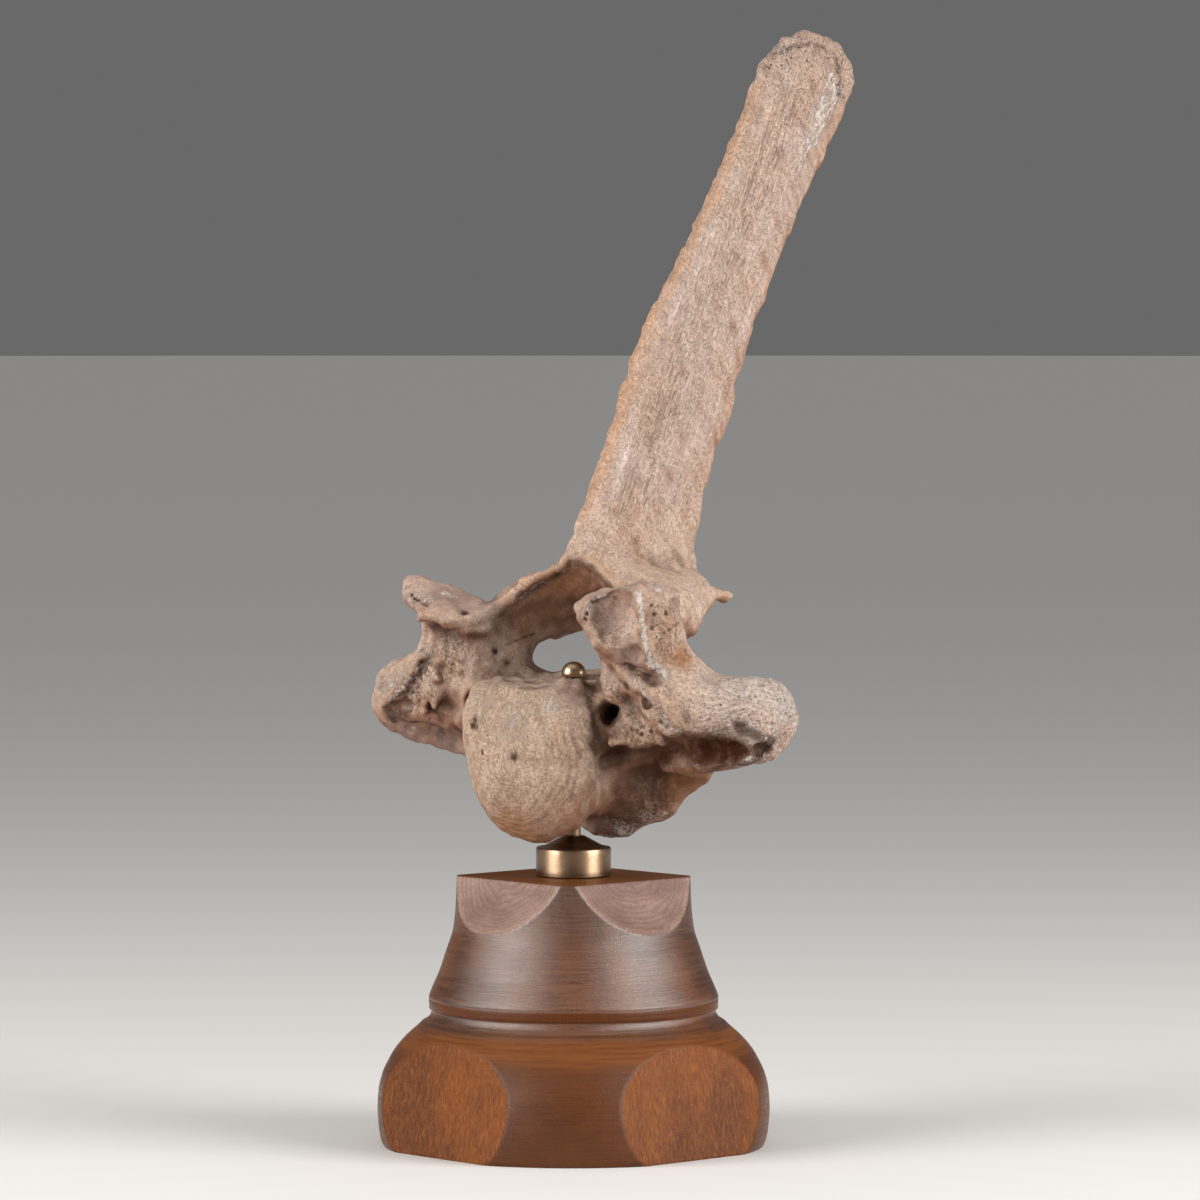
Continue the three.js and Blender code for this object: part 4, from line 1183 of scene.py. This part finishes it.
def base_piece():
    turns = np.arange(BASE_COLUMNS) / BASE_COLUMNS * 2 * math.pi
    a, z = np.meshgrid(turns, np.linspace(0, BASE_TOP, BASE_ROWS))
    radius, masks = stand_form(a, z)
    side = np.stack([radius * np.cos(a), radius * np.sin(a), z], 2)
    below = [side[0] * (s, s, 1) for s in CAP_SHARES]
    above = [side[-1] * (s, s, 1) for s in reversed(CAP_SHARES)]
    rings = [[(0, 0, 0)]] + below + list(side) + above + [[(0, 0, BASE_TOP)]]
    made = ring_mesh("turned_stand", rings)
    ends = np.zeros(1 + len(CAP_SHARES) * BASE_COLUMNS)
    for name, mask in masks.items():
        give_attribute(made, name, np.concatenate([ends, mask.ravel(), ends]))
    give_attribute(made, "top", np.concatenate([ends, 0 * z.ravel(), ends + 1]))
    return made


def wood_material():
    material, shader = start_material("varnished_wood")
    tree = material.node_tree
    where = attribute(tree, "place", "Vector")
    names = ("flat", "scoop", "top", "band", "worn")
    flat, scoop, top, band, worn = (attribute(tree, name) for name in names)
    turned_share = maths("SUBTRACT", 1.0, maths("MAXIMUM", flat, maths("MAXIMUM", scoop, top)))
    broad = noise(stretched(where, (1, 1, 0.4)), 0.035, 4)
    cloud = noise(stretched(where, (0.5, 0.5, 1)), 0.09, 4, 0.6)
    grain = noise(stretched(where, (1, 1, 0.03)), 2.1, 6, 0.75)
    pore = noise(stretched(where, (1, 1, 0.12)), 2.6, 3, 0.7)
    lathe_lines = noise(stretched(where, (0.03, 0.03, 1)), 1.1, 6, 0.75)
    up = add_node(tree, "SeparateXYZ", {}, {"Vector": where}, 2)
    bulge = up.ramp(42, 50, 1, 0)
    shoulder = turned_share * up.ramp(34, 40) * up.ramp(44, 47, 1, 0)
    out = add_node(tree, "VectorMath", {"operation": "LENGTH"}, {0: stretched(where, (1, 1, 0.12))}, "Value")
    arcs = maths("SINE", out * 5.4 + cloud * 30) * 0.035 + pore * 0.5 + cloud * 0.5
    colour = layered((56, 28, 11), [
        (broad.ramp(0.38, 0.62), (88, 47, 16)),
        (cloud.ramp(0.5, 0.7, 0, 0.5), (58, 29, 14)),
        (flat * 0.9, over((92, 48, 18), broad.ramp(0.4, 0.6), (118, 64, 24))),
        (grain.ramp(0.4, 0.52, 0.8, 0) * flat.ramp(0, 1, 0.3, 0.65), (70, 34, 14)),
        (grain.ramp(0.5, 0.6, 0, 0.8) * flat.ramp(0, 1, 0.15, 0.5), (154, 96, 42)),
        (pore.ramp(0.3, 0.42, 0.9, 0) * flat.ramp(0, 1, 0.2, 0.8), (48, 22, 10)),
        (lathe_lines.ramp(0.5, 0.66, 0, 0.5) * turned_share, (104, 62, 30)),
        (lathe_lines.ramp(0.32, 0.46, 0.6, 0) * turned_share, (48, 24, 12)),
        (band * 0.9, (82, 41, 8)),
        (band * grain.ramp(0.4, 0.52, 0.8, 0), (70, 32, 12)),
        (bulge * turned_share * 0.75, over((72, 36, 11), cloud.ramp(0.3, 0.7), (88, 46, 13))),
        (shoulder * lathe_lines.ramp(0.42, 0.6, 0.35, 0.75), (120, 68, 26)),
        (scoop * 0.9, (122, 94, 84)),
        (top * 0.8, (112, 66, 28)),
        (scoop * arcs.ramp(0.48, 0.62, 0, 0.6), (158, 128, 114)),
        (scoop * arcs.ramp(0.38, 0.5, 0.6, 0), (92, 62, 48)),
        (worn * pore.ramp(0.4, 0.6) * 0.3, (190, 160, 142)),
    ])
    roughness = lathe_lines.ramp(0.3, 0.7, 0.22, 0.42) + maths("MAXIMUM", scoop, top) * 0.2
    shine = turned_share * band.ramp(0, 1, 1, 0.15) * bulge.ramp(0, 1, 1, 0.3) + scoop * 0.5
    height = lathe_lines * turned_share + grain * 0.6 + pore * 0.5 + arcs * scoop * 0.8
    return finish_material(material, shader, height, 0.16, Base_Color=colour, Roughness=roughness,
                           Specular_IOR_Level=shine.ramp(0, 1, 0.12, 0.85))


# Metal parts: turned pieces

COLLAR_RADIUS = 14.25
COLLAR_LOW = 102.5
COLLAR_TOP = 113.4
COLLAR_BEVEL = 0.8
COLLAR_EDGE = 0.25
CONE_TOP_RADIUS = 4
CONE_RISE = 4.3
CONE_STEPS = 6
ROD_RADIUS = 2.7
ROD_GAP = 0.3
ROD_LOW = 73.7
ROD_HIGH = 180.8
CAP_RADIUS = 4.65
CAP_LOW = 178.1
CAP_SPRING = 179.5
CAP_POCKET = 181.3
CAP_TOP = 183.9
BORE = ROD_RADIUS + ROD_GAP


def arc(centre_r, centre_z, radius, start, end, steps):
    """Points on a round corner, degrees from outward to up."""
    found = []
    for k in range(steps + 1):
        t = math.radians(start + (end - start) * k / steps)
        found.append((centre_r + radius * math.cos(t), centre_z + radius * math.sin(t)))
    return found


def collar_piece():
    """A ring with softened edges and a shallow cone cut with fine turning steps."""
    outline = [(BORE, COLLAR_LOW + 0.3), (BORE + 0.3, COLLAR_LOW), (COLLAR_RADIUS - 3, COLLAR_LOW)]
    outline += arc(COLLAR_RADIUS - COLLAR_EDGE, COLLAR_LOW + COLLAR_EDGE, COLLAR_EDGE, -90, 0, 4)
    outline += [(COLLAR_RADIUS, COLLAR_LOW + q) for q in (2.5, 5.2, 8)]
    outline += arc(COLLAR_RADIUS - COLLAR_BEVEL, COLLAR_TOP - COLLAR_BEVEL, COLLAR_BEVEL, 0, 90, 6)
    rim = COLLAR_RADIUS - COLLAR_BEVEL - 1.2
    groove = 0.25
    outline += [(rim + 0.15, COLLAR_TOP), (rim, COLLAR_TOP - groove)]
    for k in range(1, CONE_STEPS + 1):
        share = k / CONE_STEPS
        r = rim + (CONE_TOP_RADIUS - rim) * share
        z = COLLAR_TOP - groove + (CONE_RISE + groove) * share
        outline += [(r + 0.28, z - 0.12), (r, z)]
    outline += [(CONE_TOP_RADIUS - 0.4, COLLAR_TOP + CONE_RISE), (BORE, COLLAR_TOP + CONE_RISE - 0.2)]
    return ring_mesh("collar", turned_rings(outline, 144), True)


def rod_piece():
    bevel = 0.3
    outline = [(0, ROD_LOW), (ROD_RADIUS - bevel, ROD_LOW), (ROD_RADIUS, ROD_LOW + bevel)]
    outline += [(ROD_RADIUS, ROD_LOW + (ROD_HIGH - ROD_LOW) * k / 8) for k in range(1, 8)]
    outline += [(ROD_RADIUS, ROD_HIGH - bevel), (ROD_RADIUS - bevel, ROD_HIGH), (0, ROD_HIGH)]
    return ring_mesh("rod_stem", turned_rings(outline, 48))


def cap_piece():
    """A small dome over the rod's end, closed inside by a pocket for the rod."""
    outline = [(0, CAP_POCKET), (BORE - 0.2, CAP_POCKET), (BORE, CAP_POCKET - 0.2), (BORE, CAP_LOW + 0.2)]
    outline += [(BORE + 0.2, CAP_LOW), (CAP_RADIUS - 0.25, CAP_LOW), (CAP_RADIUS, CAP_LOW + 0.25)]
    for k in range(12):
        t = math.radians(90 * k / 12)
        outline.append((CAP_RADIUS * math.cos(t), CAP_SPRING + (CAP_TOP - CAP_SPRING) * math.sin(t)))
    return ring_mesh("cap_dome", turned_rings(outline + [(0, CAP_TOP)], 72))


def metal_material(name, colour, tint, smoothest, roughest):
    material, shader = start_material(name)
    where = attribute(material.node_tree, "place", "Vector")
    turning = noise(stretched(where, (0.04, 0.04, 1)), 3.2, 4, 0.6)
    cloud = noise(where, 0.16, 4)
    scratch = noise(where, 1.7, 4, 0.7)
    base = over(colour, cloud.ramp(0.35, 0.68), tint)
    base = over(base, scratch.ramp(0.62, 0.75, 0, 0.3), [0.3, 0.2, 0.1, 1])
    return finish_material(material, shader, turning + scratch * 0.4, 0.03, Base_Color=base, Metallic=1.0,
                           Roughness=turning.ramp(0.3, 0.7, smoothest, roughest))


# Room

def floor():
    angles = [k * math.tau / 64 for k in range(64)]
    points = [(FLOOR_RADIUS * math.cos(a), FLOOR_RADIUS * math.sin(a), 0) for a in angles]
    made = mesh_object("floor", points, [tuple(range(len(points)))], False)
    material, shader = start_material("pale_floor")
    shader.inputs["Base Color"].default_value = (0.72, 0.71, 0.69, 1)
    shader.inputs["Roughness"].default_value = 0.75
    made.data.materials.append(material)


def camera_axes():
    a = math.radians(CAMERA_AZIMUTH)
    back = Vector((math.sin(a), -math.cos(a), 0))
    right = Vector((math.cos(a), math.sin(a), 0))
    return back, right


def add_object(name, data):
    made = bpy.data.objects.new(name, data)
    bpy.context.scene.collection.objects.link(made)
    return made


def camera():
    back, right = camera_axes()
    pitch = math.atan((FRAME_PIXELS / 2 - HORIZON_PIXEL) / FOCAL_PIXELS)
    data = bpy.data.cameras.new("camera")
    data.sensor_width = SENSOR_WIDTH
    data.lens = FOCAL_PIXELS / FRAME_PIXELS * SENSOR_WIDTH
    data.clip_start = 0.05
    data.clip_end = 60
    made = add_object("camera", data)
    aside = (FRAME_PIXELS / 2 - AXIS_PIXEL) * CAMERA_DISTANCE / FOCAL_PIXELS
    made.location = (back * CAMERA_DISTANCE + right * aside + Vector((0, 0, CAMERA_HEIGHT))) * MM
    made.rotation_euler = (math.radians(90) - pitch, 0, math.radians(CAMERA_AZIMUTH))
    bpy.context.scene.camera = made


def soft_box(name, side, watts):
    back, right = camera_axes()
    t = math.radians(BOX_ANGLE)
    spot = (back * math.cos(t) + right * side * math.sin(t)) * BOX_DISTANCE + Vector((0, 0, BOX_CENTRE_UP))
    data = bpy.data.lights.new(name, "AREA")
    data.shape = "RECTANGLE"
    data.size, data.size_y = BOX_SIZE[0] * MM, BOX_SIZE[1] * MM
    data.energy = watts
    data.color = (1, 0.97, 0.94)
    made = add_object(name, data)
    made.location = spot * MM
    made.rotation_euler = (spot - Vector((0, 0, BOX_AIM_UP))).to_track_quat("Z", "Y").to_euler()


def lights():
    soft_box("left_box", -1, LEFT_WATTS)
    soft_box("right_box", 1, RIGHT_WATTS)
    sky = bpy.data.lights.new("ceiling", "SUN")
    sky.energy = SKY_STRENGTH
    sky.angle = math.radians(SKY_ANGLE)
    add_object("ceiling", sky)
    world = bpy.data.worlds.new("room")
    world.use_nodes = True
    world.node_tree.nodes["Background"].inputs[0].default_value = (ROOM_GREY, ROOM_GREY, ROOM_GREY, 1)
    bpy.context.scene.world = world
    bpy.context.scene.view_settings.view_transform = "Standard"


camera()
lights()
floor()
dress(bone_piece(), bone_material(), "vertebra")
dress(base_piece(), wood_material(), "wooden_base")
brass = metal_material("satin_brass", [0.25, 0.165, 0.1, 1], [0.33, 0.225, 0.15, 1], 0.27, 0.36)
dress(collar_piece(), brass, "brass_collar")
worn_brass = metal_material("worn_brass", [0.42, 0.3, 0.18, 1], [0.52, 0.4, 0.27, 1], 0.25, 0.4)
dress(cap_piece(), worn_brass, "brass_cap")
rod_metal = metal_material("rod_metal", [0.16, 0.11, 0.065, 1], [0.22, 0.16, 0.1, 1], 0.45, 0.6)
dress(rod_piece(), rod_metal, "rod")
